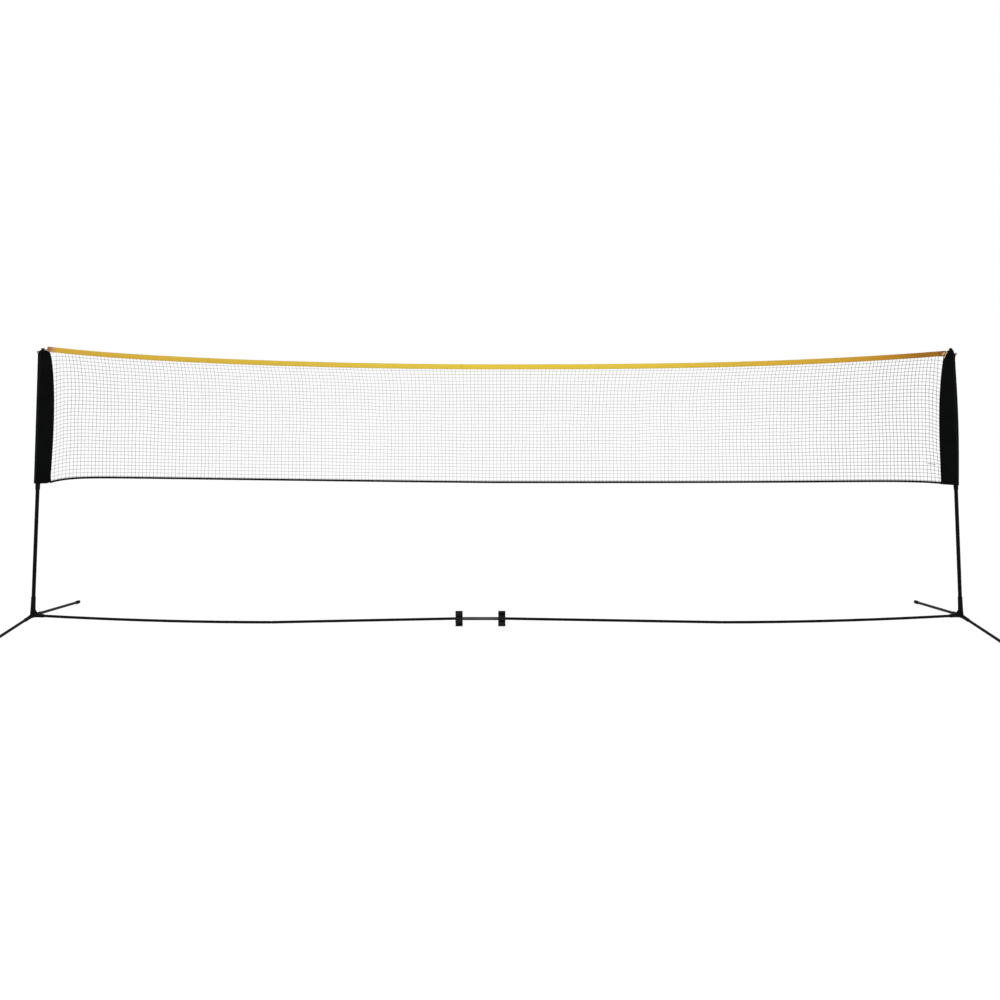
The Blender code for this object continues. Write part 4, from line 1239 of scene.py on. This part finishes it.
def makeEyeletRims(word):
    # a ring of wire on the front and on the back
    bm = bmesh.new()
    upright = Matrix.Rotation(math.pi / 2, 4, "X")
    for front in (-1, 1):
        start = len(bm.verts)
        ring = bmesh.ops.create_circle(bm, segments=8, radius=tapeEnd["rimWire"])["verts"]
        bmesh.ops.transform(bm, verts=ring, matrix=Matrix.Translation((tapeEnd["rimRadius"], 0, 0)) @ upright)
        # every edge once, and in the same order each run
        edges = list(dict.fromkeys(edge for vertex in ring for edge in vertex.link_edges))
        bmesh.ops.spin(bm, geom=ring + edges, cent=(0, 0, 0), axis=(0, 0, 1), angle=math.tau, steps=24,
                       use_merge=True)
        bm.verts.ensure_lookup_table()
        place = Matrix.Translation(eyeletSpot(word) + Vector((0, front * tapeEnd["thickness"] / 2, 0)))
        bmesh.ops.transform(bm, verts=list(bm.verts)[start:], matrix=place @ upright)
    mesh = skinFrom(f"eyeletRims_{word}", bm, 1e-6)
    return setPiece(mesh, "couplingSteel", "patch_brown", angle=50)


def arc(middle, radius, start, end, count):
    turns = [between(start, end, share) for share in shares(count)]
    return [(middle + radius * math.cos(turn), radius * math.sin(turn)) for turn in turns]


def makeLoop(word):
    # round the cap's neck, straight across and round the edge of the eyelet
    around = tapeEnd["neckRadius"] + tapeEnd["loopRadius"] + tapeEnd["loopGap"]
    far = tapeEnd["loopReach"]
    atStrip = math.hypot(tapeEnd["stripHalf"], tapeEnd["thickness"] / 2 + tapeEnd["loopGap"])
    atStrip += tapeEnd["loopRadius"]
    lean = math.acos((around - atStrip) / far)
    line = []
    for reach, y in arc(0, around, lean, math.tau - lean, 24) + arc(far, atStrip, -lean, lean, 16):
        share = smoothStep((reach - around) / (far - around))
        height = between(tapeEnd["neckHeight"], eyeletSpot(word).z, share)
        line.append(Vector((fromPost(word, reach), y, height)))
    mesh = strandMesh(f"tieLoop_{word}", [line], tapeEnd["loopRadius"], 10, closed=True)
    return setPiece(mesh, "loopCord", "loop_cord", f"tape_loop_{word}")


straps = {
    "bands": (                  # reach from the post and height of both ends, width, lift off the tape
        {"high": (0.0262, 1.5245), "low": (0.0425, 1.4905), "width": 0.0045, "lift": 0.0019},
        {"high": (0.0350, 1.5250), "low": (0.0505, 1.5125), "width": 0.0090, "lift": 0.0009}),
    "wayRound": 0.075,
    "wall": 0.0009,
    "roundness": 0.3,           # 1 would make the section of a strap round, and 0 square
    "fullness": 0.18,           # how far the folds at its ends stand out
}


def strapSpot(strap, across, along):
    high, low = strap["high"], strap["low"]
    run = Vector((low[0] - high[0], 0, low[1] - high[1])).normalized()
    across, turn = across * strap["width"], (along + 0.5) * math.tau
    share = 0.5 - 0.5 * math.cos(turn) * (1 + straps["fullness"] * math.sin(turn) ** 2)
    reach, z = between(high[0], low[0], share), between(high[1], low[1], share)
    y = -math.copysign(abs(math.sin(turn)) ** straps["roundness"], math.sin(turn))
    y *= tapeEnd["thickness"] / 2 + strap["lift"]
    return Vector((fromPost("right", reach) + run.z * across, y, z + run.x * across))


def makeTieStraps():
    # two folded straps laid slantwise over the right end of the tape, on both faces
    bm = bmesh.new()
    for strap in straps["bands"]:
        layCloth(bm, 4, 40, strap["width"], straps["wayRound"], strapSpot, strap)
    piece = setPiece(skinFrom("tieStraps", bm, 1e-5), "strapCloth", "patch_brown")
    addWall(piece, straps["wall"])
    return piece


mend = {"from": 2.430, "to": 2.470, "height": (0.8965, 0.8945), "droop": 0.004, "front": -0.0016,
        "second": (0.001, 0.0030, 0.0010), "radius": 0.0010}


def makeMend():
    # a doubled length of twine along the last meshes on the right
    run = []
    for share in shares(16):
        z = between(*mend["height"], share) - mend["droop"] * share ** 6
        run.append(Vector((between(mend["from"], mend["to"], share), mend["front"], z)))
    mesh = strandMesh("netMend", [run, [spot + Vector(mend["second"]) for spot in run]], mend["radius"], 6)
    return setPiece(mesh, "blackThread", "net_twine")


tapePieces = [tapeJoins, tapeStitches, makeTieStraps(), makeMend()]
for word in sideSign:
    tapePieces += [makeTapeEnd(word), makeEyeletRims(word), makeLoop(word)]
print("tape ends and loops made")
